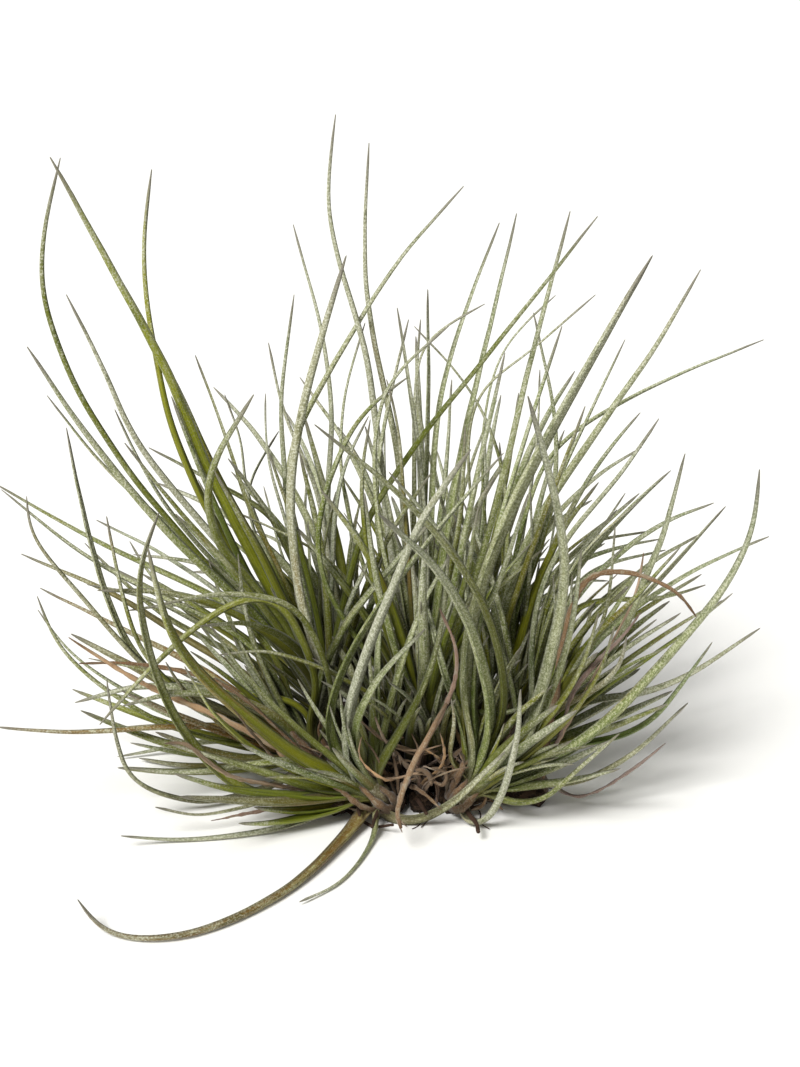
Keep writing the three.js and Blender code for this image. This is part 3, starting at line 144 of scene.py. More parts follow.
# Rosettes: tone, foot of the bulb, lean of its axis, fans, fill and the leaves that were read one by one.
# A fan: how many leaves, from and to which angle, shortest and longest, nearest and farthest tip.
# Fill: direction, length and steepness of a leaf. A row: tone, width at the base, how far back its tip is,
# and its route as the eye sees it, across and up in turn, from the tip to the base.
ROSETTES = {
    "rosette_left_tall": dict(
        tone="green", foot=(-19, 22, 8), lean=(-0.35, 0.15, 1),
        fans=[[9, 96, 150, 46, 92, 6, 70]],
        fill=[[205, 96, 40], [235, 84, 44]],
        leaves=rows("""
green 2.9 40  -103.5 192.5 -106.5 180 -109.3 160 -105.5 140 -96.5 120 -85 102 -70 83 -50 62
vivid 3.6 5  -106.3 192.7 -95 171 -85 154 -77.5 141 -68 121 -59 98 -52 85 -45 72 -36 55
green 3 12  -70 121 -64.5 108 -59 94 -52.5 80 -45.5 64 -39 52
vivid 3.4 24  -78 143.5 -73 133 -66.5 120.5 -57.5 99.5 -49.5 85 -42 71 -34 52
vivid 2.8 -4  -57 98.5 -51 88 -43.5 74 -37 60.5 -32 50
vivid 3.6 58  -76 189 -78.2 170 -78 158 -75.5 140 -72 120 -69 110 -65 100 -61 91 -48 68
pale 2.6 22  -101.5 151.5 -95 140 -90 128 -82 110 -72 96 -60 82 -50 70 -42 60
silver 3 -8  -113.3 135.8 -104 121 -92 105 -80 90 -68 77 -62 71 -45 54
silver 2 62  -107.2 121.3 -97 108 -92 102 -78 89 -58 70 -44 56
silver 2.2 36  -87 117 -80 102 -70 86 -56 70 -42 54
olive 2.2 -14  -84 107 -74 94 -60 78 -46 62
green 2.4 74  -76.7 105.7 -62 98 -50 91.5 -40 85.5 -31 72
olive 1.8 34  -51 86.5 -40 81 -30 77 -22 71 -17 65 -13 59 -12 48
olive 1.8 60  -62.8 133.3 -57 119 -52 103 -46 86 -38 70 -31 54
olive 3.5 -6  -45.5 121.5 -54 106.5 -58 99.5 -59.5 92 -56 77 -47 66 -37 53 -27 38
pale 2 78  -92.5 84 -80 78 -64 68 -46 54
silver 2.8 30  -33.3 151.5 -35.5 138 -37.5 118 -36.5 100 -35 84 -31 68 -27 50
olive 2.6 2  57.7 175 46 160.5 34 145 22 131 11 117 -1 101 -10 87 -16 72 -20 52
silver 2.4 44  -11 115 -18 101 -21 86 -22 72 -22 54
"""),
    ),
    "rosette_left_low": dict(
        tone="silver", foot=(-23, 6, 5), lean=(-0.75, -0.05, 1),
        fans=[[9, 150, 186, 44, 84, -30, 40]],
        fill=[[160, 92, 34], [196, 80, 22], [214, 74, 30]],
        leaves=rows("""
olive 2.2 46  -123 95 -107 86 -93 78 -80 72 -66 65 -50 57 -38 42
silver 2.4 26  -121 93 -108 82 -94 72 -80 64 -65 57 -50 49 -38 36
mauve 2.6 0  -113.5 91 -112 79 -104 70 -95 59 -85 48 -74 37 -56 28
mauve 2.4 54  -115 73.8 -98 66.5 -80 58 -62 46 -48 38 -36 28
mauve 2.2 34  -109.3 63.5 -95 56.5 -80 49 -62 40 -44 27
olive 2.4 -4  -110.3 61 -106 50 -98 40 -88 32.5 -72 23 -52 17
silver 2 14  -110 57 -102 46 -92 38 -76 29 -56 21
olive 2.6 -28  -91.5 23 -83 33.5 -73 43 -62 52 -50 60.5 -40 61 -31 50 -26 34
green 2.6 -36  -76 58 -62 61.5 -45 61.5 -33 57.5 -25 44 -22 28
green 2.4 62  -96 77 -88 70 -80 61 -70 54 -58 47 -45 41 -34 30
olive 2 66  -82.5 77.5 -77 68 -64 56 -48 44 -36 32
olive 2.4 -10  -89.5 85 -87 70 -82.5 55 -77.5 43 -64 30 -46 21
silver 2.6 20  -101.5 111.5 -101 105 -97 89 -93 73 -88 57 -80 42 -60 26
olive 2.4 -24  -71.7 41.3 -65 31 -54 22 -40 13
brown 2.2 -14  -123 22 -108 20.5 -92 20.5 -70 22.3 -50 22 -35 20
pale 1.6 8  -94 31.2 -85 31.8 -75 27 -58 21 -40 17
vivid 2.4 4  -66 36 -50 31.5 -35 30 -29 25
mauve 2.2 -30  -89.3 36 -87.5 23 -84 10 -80 5 -68 0.5 -60 -0.5 -44 3 -34 7
pale 2.4 40  -86 13 -70 16 -54 18 -40 17
"""),
    ),
    "rosette_front_left": dict(
        tone="silver", foot=(-4, -9, 3.2), lean=(-0.7, -0.4, 0.85),
        fans=[[6, 158, 196, 34, 66, -46, -18], [4, 70, 128, 34, 62, -6, 12]],
        fill=[],
        leaves=rows("""
olive 3.2 -34  -74 86 -79.5 70 -79 54 -74 36 -66 19 -53 6.5 -38 1.3 -24 1.5
vivid 4.2 -46  -77 75.5 -73.5 60 -68 46 -58 34 -46 24 -33 13.5 -22 7.5
silver 2.6 -22  -82.5 9.7 -68 8 -52 9.5 -38 10.3 -30 9
mauve 1.4 -24  -74.7 -2.2 -64 -4.5 -52 -3.7 -41 -0.7 -26 2
pale 2.2 -30  -85 -10.7 -72 -11.8 -56 -11 -40 -9 -28 -5 -19 -1.5
mauve 3 -70  -98 -30 -93 -38 -84 -41.2 -70 -41.3 -54 -36.5 -38 -28.5 -24 -17.5 -13 -5.5
pale 1.6 -60  -31.5 -30.5 -20 -24.8 -11 -14 -8.5 -7
pale 4.2 -58  19.7 105 8 89 2 75 -6 57 -13 38 -16.6 24 -16.8 15 -15.2 8 -11.5 3.8
green 2.6 -36  29.5 104 20 93 10 81 -4 63 -17 43 -23 25 -22.5 18 -19 11
olive 2.8 -26  13 76 12 60 9 45 5 33 1 25 -4 17 -7 12
mauve 2.6 -27  30 14.5 23 7.5 13 -1.5 3 -6 -2 -6.2 -6 -4
vivid 2 -52  -66 40 -58 27 -46 16 -34 9 -22 4.5
silver 2.6 -38  6 51.3 -0.5 45 -10.3 33.5 -14.6 24 -15.4 16 -13 8
olive 1.8 -44  -58 52 -50 40 -40 29 -28 18 -18 10
"""),
    ),
    "rosette_front_right": dict(
        tone="silver", foot=(14.2, -8.5, 3.5), lean=(0.7, -0.3, 0.85),
        fans=[[6, 4, 56, 32, 58, -42, -10], [3, 60, 110, 34, 60, -8, 12]],
        fill=[],
        leaves=rows("""
silver 3.8 -52  -8 86 0 79 9 70 17 58 22.5 43 26 28 25.6 20 23 11
pale 4.5 -18  74 163 66 150 58 136 50 121 42 105 34 90 27 74 21.5 58 19 44 19 28
pale 2.4 -42  34.7 33 33.5 18 29.5 3 24.5 -6 21.5 -7.6 16.5 -5
pale 3.8 -34  37 121 42 104 47.5 77 48 68 44 45 37.5 22 31 9
silver 2.6 -22  53 75 51.5 60 48 44 42 28 34 14
silver 2.4 -30  64.2 19.8 50 8 41 0.5 31 -0.5
mauve 2.2 -4  84.7 29 75 19.5 64 11 52 5.5 40 4.5 31 5
silver 3.2 -12  106.3 99 106 88 102 75 94 61 83 48 72 35 61 24 49 14.5 35 9
brown 2 -28  14 30 15 25 14 18 14 12
olive 2.6 -44  -27 112.5 -12 101 -5 95 4 86 15 73 23 60 28 45 30 32 28 20
olive 2.4 0  20 62 19 48 18 34 18 22
olive 2.4 -44  63 52 58 38 50 26 40 16 30 9
olive 2.2 -20  58 56 54 42 47 30 38 19 29 12
silver 2.4 -12  47 142 41 122 34 102 28 82 24 62 21 42 20 28
"""),
    ),
    "rosette_right": dict(
        tone="silver", foot=(32, 9, 5), lean=(0.55, -0.05, 1),
        fans=[[9, 14, 66, 36, 70, -20, 46]],
        fill=[[32, 92, 44]],
        leaves=rows("""
pale 2.4 16  106.3 51.5 91 41 81 35.5 70 31.8 54 29.5 46 25
silver 2.4 -16  92 47.3 83 35 76 26 65 19.3 50 16.5 42 14
silver 2 30  109 79 98 75 86 67.5 75 62 60 50 48 36
olive 2.2 50  90 64.5 80 61 68 60 52 58.5 44 46 40 32
silver 2 58  78 75 68 72.5 55 67.5 46 54 41 38
silver 2 64  73.3 80.7 60 78 49 73.5 42 58 39 40
silver 2.2 40  70.8 90 62 82 52 72 44 56 39 38
pale 2 52  63.5 87 53 75 45 60 40 42
olive 2 -2  63 82 62 68 59.5 54 57 49 50 36 43 24
pale 2.8 20  84 103.8 80.5 91 77 78 72.5 68 67 53 54 34 44 22
olive 2.4 -8  82.5 75.8 75 66.5 65 57 54 46 46 33 40 22
mauve 2.2 -24  66.5 49 64 40 56 32.5 44 26 39 20
pale 2.6 12  76 114.3 69.5 103.5 60 92 50 80.5 42 66 38 46
pale 2.2 34  96 88 86 76 74 64 60 50 46 34
green 2 6  98 62 86 52 72 42 56 31 45 22
"""),
    ),
    "rosette_centre": dict(
        tone="silver", foot=(5, 8, 6.5), lean=(0.05, 0.05, 1),
        fans=[[6, 52, 128, 46, 92, -14, 34]],
        fill=[],
        leaves=rows("""
silver 4 -10  6 78 5.5 60 6.5 44 5.5 32
silver 2.6 24  1 127 -12 117 -20 103 -25.5 86 -25 68 -14 48 -4 34
silver 3 20  49.5 176.5 45.5 161 41 144 36.5 128 32.5 112 29 96 24.5 81 20 66 13 44
silver 2.4 30  33.5 175.8 30 160 26 144 22.5 128 18 110 15 95 11 70 8 46
pale 4.4 -16  -17.7 163 -24.5 140 -29.5 122 -33 106 -34 90 -33 76 -31 62 -27.5 50 -21.5 39 -13 29
silver 2.2 38  28.3 173 22.5 160 17.5 145 13 130 10 118 8 92 7 64 6 42
green 2.4 14  -10.5 114 -13 98 -12 82 -8 60 -1 40
silver 2 8  13 142 5 135 -5 125 -9 108 -8 84 -2 56 2 38
silver 2.2 34  6.8 153 7 120 6 92 5 62 5 40
pale 2.2 26  -2.3 147.5 1 127 4 104 6 80 6 54
olive 1.8 -16  -56 43.5 -43 45 -28 40.5 -13 33 -2 26 5 21
brown 2 12  -5.5 126 -3 118 -2 110 -1.5 103 0 80 2 50
olive 2.6 -12  40 30 29 26 17 27 10 26
olive 2.6 6  18 112 17 92 14 70 10 48 8 36
silver 2.8 -16  -12 92 -10 74 -6 56 -1 40
silver 2.4 -20  36 92 30 74 22 54 13 38
silver 2.6 0  30 134 25 112 20 90 15 66 10 44
green 2.4 -22  22 88 19 70 14 52 9 38
"""),
    ),
    "rosette_right_back": dict(
        tone="silver", foot=(29, 28, 8), lean=(0.4, 0.3, 1),
        fans=[[4, 30, 96, 56, 96, 30, 76]],
        fill=[[48, 110, 56], [72, 104, 50], [24, 98, 42], [60, 84, 26], [88, 90, 34]],
        leaves=rows("""
silver 2.8 30  88.5 159 80.5 144 69 128 57.5 111 47 95 38 80 31 62 28 46
silver 2.2 64  107.5 138 92 131.3 78 125.8 64 118.5 51 110.5 42 101 34 76 30 52
pale 1.6 44  57 151.5 47 143.5 37 134 22 121.5 19 100 22 72 26 50
silver 1.6 70  45 151.3 36 142 30 136 24 116 24 88 26 60
silver 2 56  38.5 146 42.5 130 45 112 45 96 38 70 31 48
pale 1.6 24  23.8 148.7 15 144 5 136 4 118 12 88 22 58
silver 1.8 38  3 142 14 131 22 119 28 105 31 84 30 56
green 2 80  48 100 44 86 38 68 32 50
pale 1.8 76  40.5 129 40 110 37 88 32 60
silver 2.2 48  66 138 58 120 48 100 39 80 32 58
olive 2.2 22  54 118 48 102 41 84 34 64 29 48
"""),
    ),
    "rosette_back_centre": dict(
        tone="silver", foot=(6, 29, 9), lean=(0, 0.3, 1),
        fans=[[3, 66, 118, 60, 96, 44, 84]],
        fill=[[92, 126, 62], [70, 112, 52], [112, 108, 46], [98, 92, 32], [80, 100, 40], [126, 118, 58]],
        leaves=rows("""
pale 2.5 56  -20.8 205.5 -23 190 -22.8 175 -19 158.5 -14 143 -10.5 128 -8.5 110 -5 84 -1 56
pale 2.4 66  -10.8 197 -12 178 -12 158 -9.8 140 -6 122 -2 103 0 80 2 54
silver 1.8 50  -12 143 -16 132 -18 120 -19.5 105 -16 82 -6 54
silver 2 72  4.7 144 3 124 3 100 3 74 3 52
silver 2 46  1 144 -4 124 -8 102 -8 78 -2 52
silver 2.2 62  14 126 13 108 11 86 7 58
silver 2 80  20 116 18 98 13 74 8 54
pale 2 84  -6 112 -6 92 -4 70 0 50
"""),
    ),
    "rosette_back_left": dict(
        tone="pale", foot=(-11, 39, 6.5), lean=(-0.35, 0.5, 1),
        fans=[[4, 92, 156, 56, 92, 50, 96]],
        fill=[
            [110, 114, 46], [132, 120, 54], [150, 104, 40], [96, 96, 34], [120, 90, 24],
            [168, 92, 32], [142, 84, 20], [108, 76, 14], [186, 86, 26],
        ],
        leaves=rows("""
silver 2.2 52  17.5 184 6 172 -6 156 -16 140 -25 124 -32 111 -35.5 97 -32 72 -24 48
pale 2 70  -33.5 172.5 -28.5 153 -24 136 -22 118 -22.5 98 -23.5 82 -21 56
pale 1.8 62  -41 137 -38 121 -31 104 -25 88 -21 60
pale 1.8 80  -41.8 121.8 -41.5 106 -38 91 -30 66 -22 46
pale 1.8 90  -38 110.5 -45.5 98 -47.5 91 -40 68 -27 48
pale 1.8 84  -54 121.5 -49 108 -48 95 -40 74 -28 50
pale 2 74  -29.3 97.8 -30 84 -28.5 77 -22 56
silver 1.8 94  -42.3 94 -40 84 -34 66 -26 48
green 2 88  -62 96 -56 84 -46 68 -32 48
"""),
    ),
    "rosette_back_right": dict(
        tone="silver", foot=(18, 43, 6.5), lean=(0.25, 0.55, 1),
        fans=[[3, 30, 104, 50, 84, 56, 100]],
        fill=[
            [80, 116, 48], [60, 122, 54], [40, 108, 44], [96, 104, 38], [72, 88, 24],
            [54, 94, 32], [28, 90, 30], [84, 76, 14], [64, 80, 18], [44, 78, 16],
        ],
        leaves=rows("""
green 1.8 86  34 122 32 104 28 84 22 58
silver 1.8 92  52 112 46 94 37 72 26 52
silver 2 78  24 110 24 92 22 72 20 54
pale 2 96  66 92 57 78 44 62 30 48
silver 1.8 90  8 104 12 86 16 66 18 52
"""),
    ),
}

# Bunches of dry leaves: tone, foot and top of the sheath that holds them, its girth, and rows as above
DRY = {
    "dry_leaves_front": dict(
        tone="tan", foot=(5, -8, 1.6), top=(4.5, -3, 12), girth=3,
        leaves=rows("""
tan 2.1 -34  -0.8 -9.5 -2.4 -5 -1.6 0.5 0.6 6
tan 2 -22  -13 19 -14 14 -11 9 -6 6.5 0 7.2
tan 1.8 -26  10.5 20 12 14 10 9 7 7
tan 1.8 -20  -9 25 -5 17 0 11
mauve 1.7 -31  10.5 57.5 14.4 49 15.8 42 14.8 35 11.6 27 6.6 17.5 3 9.5
"""),
    ),
    "dry_leaves_left": dict(
        tone="brown", foot=(-22, -9, 1.6), top=(-20, -4, 9), girth=3.2,
        leaves=rows("""
tan 2.4 -24  -100.7 48.7 -84 38 -72 32 -55 25 -38 15
brown 2 -12  -97.5 41 -86 41.5 -74 40 -58 36 -40 23
tan 2.6 -40  -72 17 -66 17.5 -60 12 -50 7.5 -36 3.5
mauve 2.4 -30  -58 -6 -46 -3 -36 -0.5 -28 0.5
brown 2.2 -34  -52 28 -44 18 -36 10 -28 5
"""),
    ),
    "dry_leaves_right": dict(
        tone="mauve", foot=(41, -3, 1.6), top=(40, 0, 11), girth=3.4,
        leaves=rows("""
brown 2.6 -8  87.5 55 83 62 76 65.5 65 69 55 68 49 54 46 34
tan 2 12  71.5 74 69.5 62 64 51 55 34 48 20
mauve 2.4 -18  70.5 56 66 49.5 58 43 50 32 46 18
mauve 2 -22  78 17 68 9 58 3 50 1
"""),
    ),
    "dry_leaves_back": dict(
        tone="brown", foot=(4, 52, 1.6), top=(4, 48, 12), girth=3.6,
        leaves=rows("""
brown 2.2 118  -20 46 -12 43 -4 38 0 33
tan 2.4 122  28 47 20 44 10 38 4 33
brown 2 112  4 56 4 48 3 38
tan 2 104  -36 50 -24 46 -10 38
"""),
    ),
}

# Thick roots: thickness, how far back the end is, and the route from there to the crown
ROOTS = rows("""
root 1.7 -26  22 -9.5 21.4 -7 19 -4 17.5 -1
root 1.6 -24  6.4 -4 5.5 -2.5 3.5 0.5 2 2
root 1.5 -27  -9.8 -8 -8.8 -5 -7 -2
root 1.4 -20  -13.6 -4.5 -14 -1.5 -11 2
root 1.2 -22  -3.6 -7.4 -9.6 -7.8 -14.4 -5 -20.4 0.5
root 1.4 24  50 36 53 29 48 22.5 44 16 38 11
root 1.5 96  20 30 16 31 12 28
root 1.4 92  -26 29 -16 29 -8 26
""")

# Tan fibres in front of the crown: thickness, how far back they start and end, and their route
FIBRES = rows("""
fibre 0.9 -14 -10  -14.5 14 -11 8.4 -6.3 6.5 -0.6 7
fibre 0.8 -9 -7  -2.4 15.6 3.3 13.8 9.9 14.7
fibre 0.9 -11 -8  -13.5 24 -8 19 -1 16 5 14.5 9 15
fibre 0.7 -12 -9  -10.5 22 -3.5 16 4.5 15 11 16.5
fibre 0.8 -13 -11  -14.5 12 -10.5 8 -3.5 6.5 3.5 8 8.5 7
fibre 0.7 -10 -14  -25.5 13 -23.5 16 -19.5 12 -16.5 7
fibre 1.2 -12 -10  -3.5 13 -2.5 8 -2 2
fibre 1.6 -13 -12  3.3 9 5.5 8.8 7.5 7 8 4.5
fibre 1.3 -14 -12  8 9.5 10.5 9.2 12.5 7.4 11.2 4.6 8.6 5.4
fibre 0.8 -12 -8  -8 13 -4 11 0 12 4 10.5
fibre 0.6 -13 -12  -12 18 -9 14 -7 9 -8 4
fibre 0.7 -12 -9  2 20 4 15 3 10 5 6
fibre 0.6 -15 -12  9 13 12 10 14.5 10.5 16 13
fibre 1.7 -20 -34  12.4 29 9.6 24 6.5 18 3 12 0.5 6 -1.4 0 -2.2 -4 -1.2 -8.4
""", heads=3)


def linear(code):
    """A colour of six hex digits as linear red, green and blue."""
    parts = [int(code[i : i + 2], 16) / 255 for i in (0, 2, 4)]
    return tuple(p / 12.92 if p <= 0.04045 else ((p + 0.055) / 1.055) ** 2.4 for p in parts)


def tint(name, code, about):
    return bpy.props.FloatVectorProperty(
        name=name, description=about, subtype="COLOR", size=3, min=0, max=1, default=linear(code)
    )


def number(name, value, about, kind="NONE", unit="NONE", least=0.0, most=1e6):
    return bpy.props.FloatProperty(
        name=name, description=about, subtype=kind, unit=unit, min=least, max=most, default=value
    )


def share(name, value, about, most=1.0):
    return number(name, value, about, "FACTOR", most=most)


def turn_of(name, value, about, least, most):
    return number(name, value, about, "ANGLE", "ROTATION", least, most)


def count_of(name, value, about, most, least=0):
    return bpy.props.IntProperty(name=name, description=about, min=least, max=most, default=value)


class AirPlantBlades(bpy.types.PropertyGroup):
    """Form of the leaf blades"""

    rings: count_of("Rings", 48, "Rings of points along a leaf", 96, 12)
    cup: turn_of("Cup", 1.5, "Half angle of the channel", 0.3, 2.2)
    depth: share("Depth", 1.06, "Depth of a blade from edge to keel as a share of its half width", 2.0)
    wall: share("Wall", 0.4, "Thickness of the channel's wall as a share of its depth")
    clasp: share("Clasp", 0.22, "How much wider the sheath is than the blade", 2.0)
    wave: number("Wave", 0.07 * MM, "How far a blade wavers from its smooth line", "DISTANCE", "LENGTH")
    twist: turn_of("Twist", 0.8, "Most that a blade turns about its own line", 0, 3.1)
    inner: count_of("Inner leaves", 18, "Young leaves in the heart of each rosette", 60)


class AirPlantTints(bpy.types.PropertyGroup):
    """Colours of the fresh leaves"""

    silver: tint("Silver leaf", "5f6a20", "Leaf under a close cover of scales")
    pale: tint("Pale leaf", "6c7045", "Leaf almost hidden by its scales")
    olive: tint("Olive leaf", "686c10", "Leaf whose scales are sparse")
    green: tint("Green leaf", "5d630c", "Shaded leaf with few scales")
    vivid: tint("Bright leaf", "787c06", "Young leaf without scales")
    tired: tint("Tired leaf", "6a6026", "Leaf that turns brown")
    bronze: tint("Bronze leaf", "6f4f14", "Leaf that the sun has turned to bronze")
    greyed: tint("Greyed leaf", "6b6547", "Leaf that dries out under its scales")
    scales: tint("Scales", "b5b5a0", "Silver scales that drink for the plant")
    # Painted highlight: glints on the scales, lighter than the scales' own colour
    painted_glint: tint("Bright scales", "d2d1bd", "Scales that catch the light")
    young: tint("Young scales", "b4b777", "Thin cover of scales low on a leaf")
    dark_green_and_edge_shade: tint("Bruise", "3c4519", "Damp patches where the scales are pressed flat")
    # Dark green of veins and bruises; also laid along the leaf edges as painted shade
    blush: tint("Blush", "8a5f22", "Patches where sun has turned the leaf")
    # Painted shade: the colour that every colour is multiplied by towards the heart of the plant
    damp: tint("Damp heart", "5c4a2c", "What the damp heart of the plant takes from every colour")
    point: tint("Point", "746f63", "Dried point of a leaf")
    sheath: tint("Sheath", "85764f", "Dry base that clasps the rosette")
    stain: tint("Stain", "3a2a1a", "Foot of the sheath, stained by damp")


class AirPlantDead(bpy.types.PropertyGroup):
    """Colours and form of dead leaves, bark and roots"""

    tan: tint("Straw", "a98d70", "Leaf that has dried pale")
    brown: tint("Brown", "70563a", "Leaf that has dried dark")
    mauve: tint("Mauve", "8c7469", "Leaf that has dried pinkish grey")
    streak: tint("Streak", "4b3524", "Dark streaks of a dead leaf")
    bark: tint("Bark", "241a12", "Woody crown and stems")
    flake: tint("Flake", "4e3c2c", "Weathered edges of the bark")
    root: tint("Root", "38261a", "Wiry roots")
    curls: count_of("Curls", 90, "Small dead curls about the crown", 400)
    sheaths: count_of("Old sheaths", 9, "Torn sheaths about each rosette", 30)
    offsets: count_of("Offsets", 14, "Small young offsets between the rosettes", 40)
    wires: count_of("Fine roots", 34, "Fine roots about the crown", 200)


class AirPlantStage(bpy.types.PropertyGroup):
    """Floor, light and camera"""

    floor: tint("Floor", "f1f0ec", "Plain pale floor")
    reach: number("Floor reach", 8, "Half width of the floor", "DISTANCE", "LENGTH", 1)
    sun: number("Window", 4.2, "Strength of the soft light from above, on the left")
    sky: number("Room", 0.38, "Strength of the light all round")
    lens: number(
        "Lens", FILM * EYE_DISTANCE / VIEW_HEIGHT, "Focal length over the tall side of the picture",
        unit="CAMERA", least=10,
    )


def unit(v):
    """The vectors of an array at length one."""
    return v / np.maximum(np.linalg.norm(v, axis=-1, keepdims=True), 1e-12)


def dot(a, b):
    """Scalar product along the last axis, which is kept."""
    return (a * b).sum(-1, keepdims=True)


def seeded_draws(seed):
    """Draws from 0 to 1 in a fixed order, by 32-bit multiply and shift steps from the seed."""
    mask = 0xFFFFFFFF
    state = seed
    while True:
        state = (state + 0x6D2B79F5) & mask
        t = ((state ^ (state >> 15)) * (state | 1)) & mask
        t ^= (t + (((t ^ (t >> 7)) * (t | 61)) & mask)) & mask
        yield (t ^ (t >> 14)) / (mask + 1)


def as_seen(point):
    """Where the eye sees a point: its offset from the eye, scaled to the reading plane."""
    seen = point - EYE
    scale = -EYE_DISTANCE / (seen @ TOWARD)
    return np.array([AIM_ACROSS + (seen @ ACROSS) * scale, AIM_UP + (seen @ UPWARD) * scale])


def on_sight_lines(readings, depth, low):
    """Points on the sight lines of the readings at the given depths, slid along the line to stay over low."""
    read = readings[:, :1] * ACROSS + readings[:, 1:] * UPWARD
    line = EYE - read
    at = read + line * ((read[:, 1] - depth) / (read[:, 1] - EYE[1]))[:, None]
    on_floor = read + line * ((low - read[:, 2]) / line[:, 2])[:, None]
    return np.where(at[:, 2:] >= low, at, on_floor)


def route_points(start, width, tip_depth, readings):
    """A route from its start to its tip: the depth goes to the tip's with the seen length to the power 1.2."""
    pairs = np.array(readings, float).reshape(-1, 2)[::-1]
    steps = np.diff(np.vstack([as_seen(start), pairs]), axis=0)
    along = np.cumsum(np.hypot(steps[:, 0], steps[:, 1]))
    share = (along / along[-1]) ** 1.2
    return on_sight_lines(pairs, start[1] + (tip_depth - start[1]) * share, width * 0.5 + FLOOR_GAP)


def fan_points(start, fan, i, width, draw):
    """A leaf of a fan: out from its start at its angle in the eye's plane, bowed by a parabola."""
    count, first, last, shortest, longest, nearest, farthest = fan
    angle = math.radians(first + ((last - first) * (i + 0.2 + 0.6 * draw())) / count)
    length = shortest + (longest - shortest) * draw()
    depth = nearest + (farthest - nearest) * draw()
    sag = length * (0.05 + 0.12 * draw())
    across, up = as_seen(start)
    share = np.array([1, 0.75, 0.5, 0.25])
    bow = 4 * sag * share * (1 - share)
    lean = abs(math.cos(angle))
    side = across + length * share * math.cos(angle) - bow * math.sin(angle) * math.cos(angle)
    rise = up + length * share * math.sin(angle) + bow * (0.3 + 0.7 * lean) * (1 - 1.6 * lean * lean)
    return route_points(start, width, depth, np.stack([side, rise], 1).ravel())


def fill_points(start, azimuth, length, climb):
    """A leaf by rule: six equal steps outwards whose slope falls evenly from steep to drooping."""
    angle = math.radians(azimuth)
    first = math.radians(min(84, 46 + climb * 0.62))
    last = math.radians(climb * 1.15 - 42)
    slope = first + (last - first) * (np.arange(6) + 0.5) / 6
    out = np.cumsum(np.cos(slope) * length / 6)
    points = start + out[:, None] * np.array([math.cos(angle), math.sin(angle), 0.0])
    height = start[2]
    for i, step in enumerate(np.sin(slope) * length / 6):
        height = max(height + step, 1.6)
        points[i, 2] = height
    return points


def smooth_line(points, samples):
    """Curve through the points: a cubic between each two, its slopes weighted by the root of their distance."""
    p = np.vstack([2 * points[0] - points[1], points, 2 * points[-1] - points[-2]])
    at = np.linspace(0, 1, samples + 1) * (len(points) - 1)
    k = np.minimum(at.astype(int), len(points) - 2)
    w = (at - k)[:, None]
    a, b, c, d = p[k], p[k + 1], p[k + 2], p[k + 3]
    gap = np.maximum(np.linalg.norm(np.diff(p, axis=0), axis=1), 1e-8) ** 0.5
    g0, g1, g2 = gap[k][:, None], gap[k + 1][:, None], gap[k + 2][:, None]
    leave = g1 * ((b - a) / g0 - (c - a) / (g0 + g1) + (c - b) / g1)
    enter = g1 * ((c - b) / g1 - (d - b) / (g1 + g2) + (d - c) / g2)
    return b + leave * w + (3 * (c - b) - 2 * leave - enter) * w**2 + (2 * (b - c) + leave + enter) * w**3


def turned_line(points, samples):
    """A smooth line with its lengths and turns so far at each sample."""
    line = smooth_line(points, samples)
    steps = np.diff(line, axis=0)
    size = np.linalg.norm(steps, axis=1)
    cosine = (steps[:-1] * steps[1:]).sum(1) / (size[:-1] * size[1:])
    bend = np.append(np.arccos(np.clip(cosine, -1, 1)), 0)
    return line, np.append(0, np.cumsum(size)), np.append(0, np.cumsum(bend))


def along_line(line, measure, count):
    """Stations at equal steps of a measure that grows along the line."""
    goals = np.linspace(0, measure[-1], count + 1)
    return np.stack([np.interp(goals, measure, line[:, k]) for k in range(3)], 1)


def stations(points):
    """Few stations along the smooth line through the points: closer where it turns."""
    line, length, turn = turned_line(points, COARSE_SAMPLES)
    whole, turned = length[-1], turn[-1]
    count = int(max(4, min(8, math.floor(1.9 + 1.4 * turned + whole / 62 + 0.5))))
    return along_line(line, length / whole + 0.9 * turn / max(turned, 0.6), count)


def half_width(width, share):
    """Half width at a share of the length: widest at the clasping base, a long taper to the tip."""
    flare = 1 + SHEATH_FLARE * np.maximum(0, 1 - share / SHEATH_REACH) ** 2
    return np.maximum(THINNEST, width * FULLNESS / 2 * (1 - (1 - TIP_SHARE) * share**TAPER) * flare)


def make_leaf(node, tone, width, points):
    """A leaf as a few stations, with its half width, how free it is to move and the length so far at each."""
    line = stations(np.array(points))
    along = np.append(0, np.cumsum(np.linalg.norm(np.diff(line, axis=0), axis=1)))
    free = np.clip((along - FREE_START) / FREE_OVER, 0, 1)
    free[0] = 0
    half = half_width(width, along / along[-1])
    return dict(node=node, tone=tone, width=width, line=line, half=half, free=free, along=along)


def seat(rosette):
    """Foot of a rosette's bulb and the direction of its axis."""
    return np.array(rosette["foot"], float), unit(np.array(rosette["lean"], float))


def bunch_ends(bunch):
    """Foot and top of the sheath that holds a bunch of dry leaves."""
    return np.array(bunch["foot"], float), np.array(bunch["top"], float)


def root_of(foot, axis, towards, draw):
    """Root of a leaf inside the bulb: on the side it leaves by, lower the more it leans out."""
    away = towards - foot
    steep = (away @ axis) / np.linalg.norm(away)
    side = away - axis * (away @ axis)
    height = BULB_HEIGHT * (0.2 + 0.36 * max(0.0, steep) + 0.1 * draw())
    return foot + axis * height + unit(side) * min(0.5 * BULB_RADIUS, np.linalg.norm(side))


def rise(start, axis, route):
    """The points of a leaf, with one more over the bulb if it is long, so that it leaves along the axis."""
    away = route[0] - start
    reach = np.linalg.norm(away)
    if reach < 20:
        return [start, *route]
    aim = unit(unit(away) * 0.55 + axis * 0.45)
    return [start, start + aim * min(16, reach * 0.4), *route]


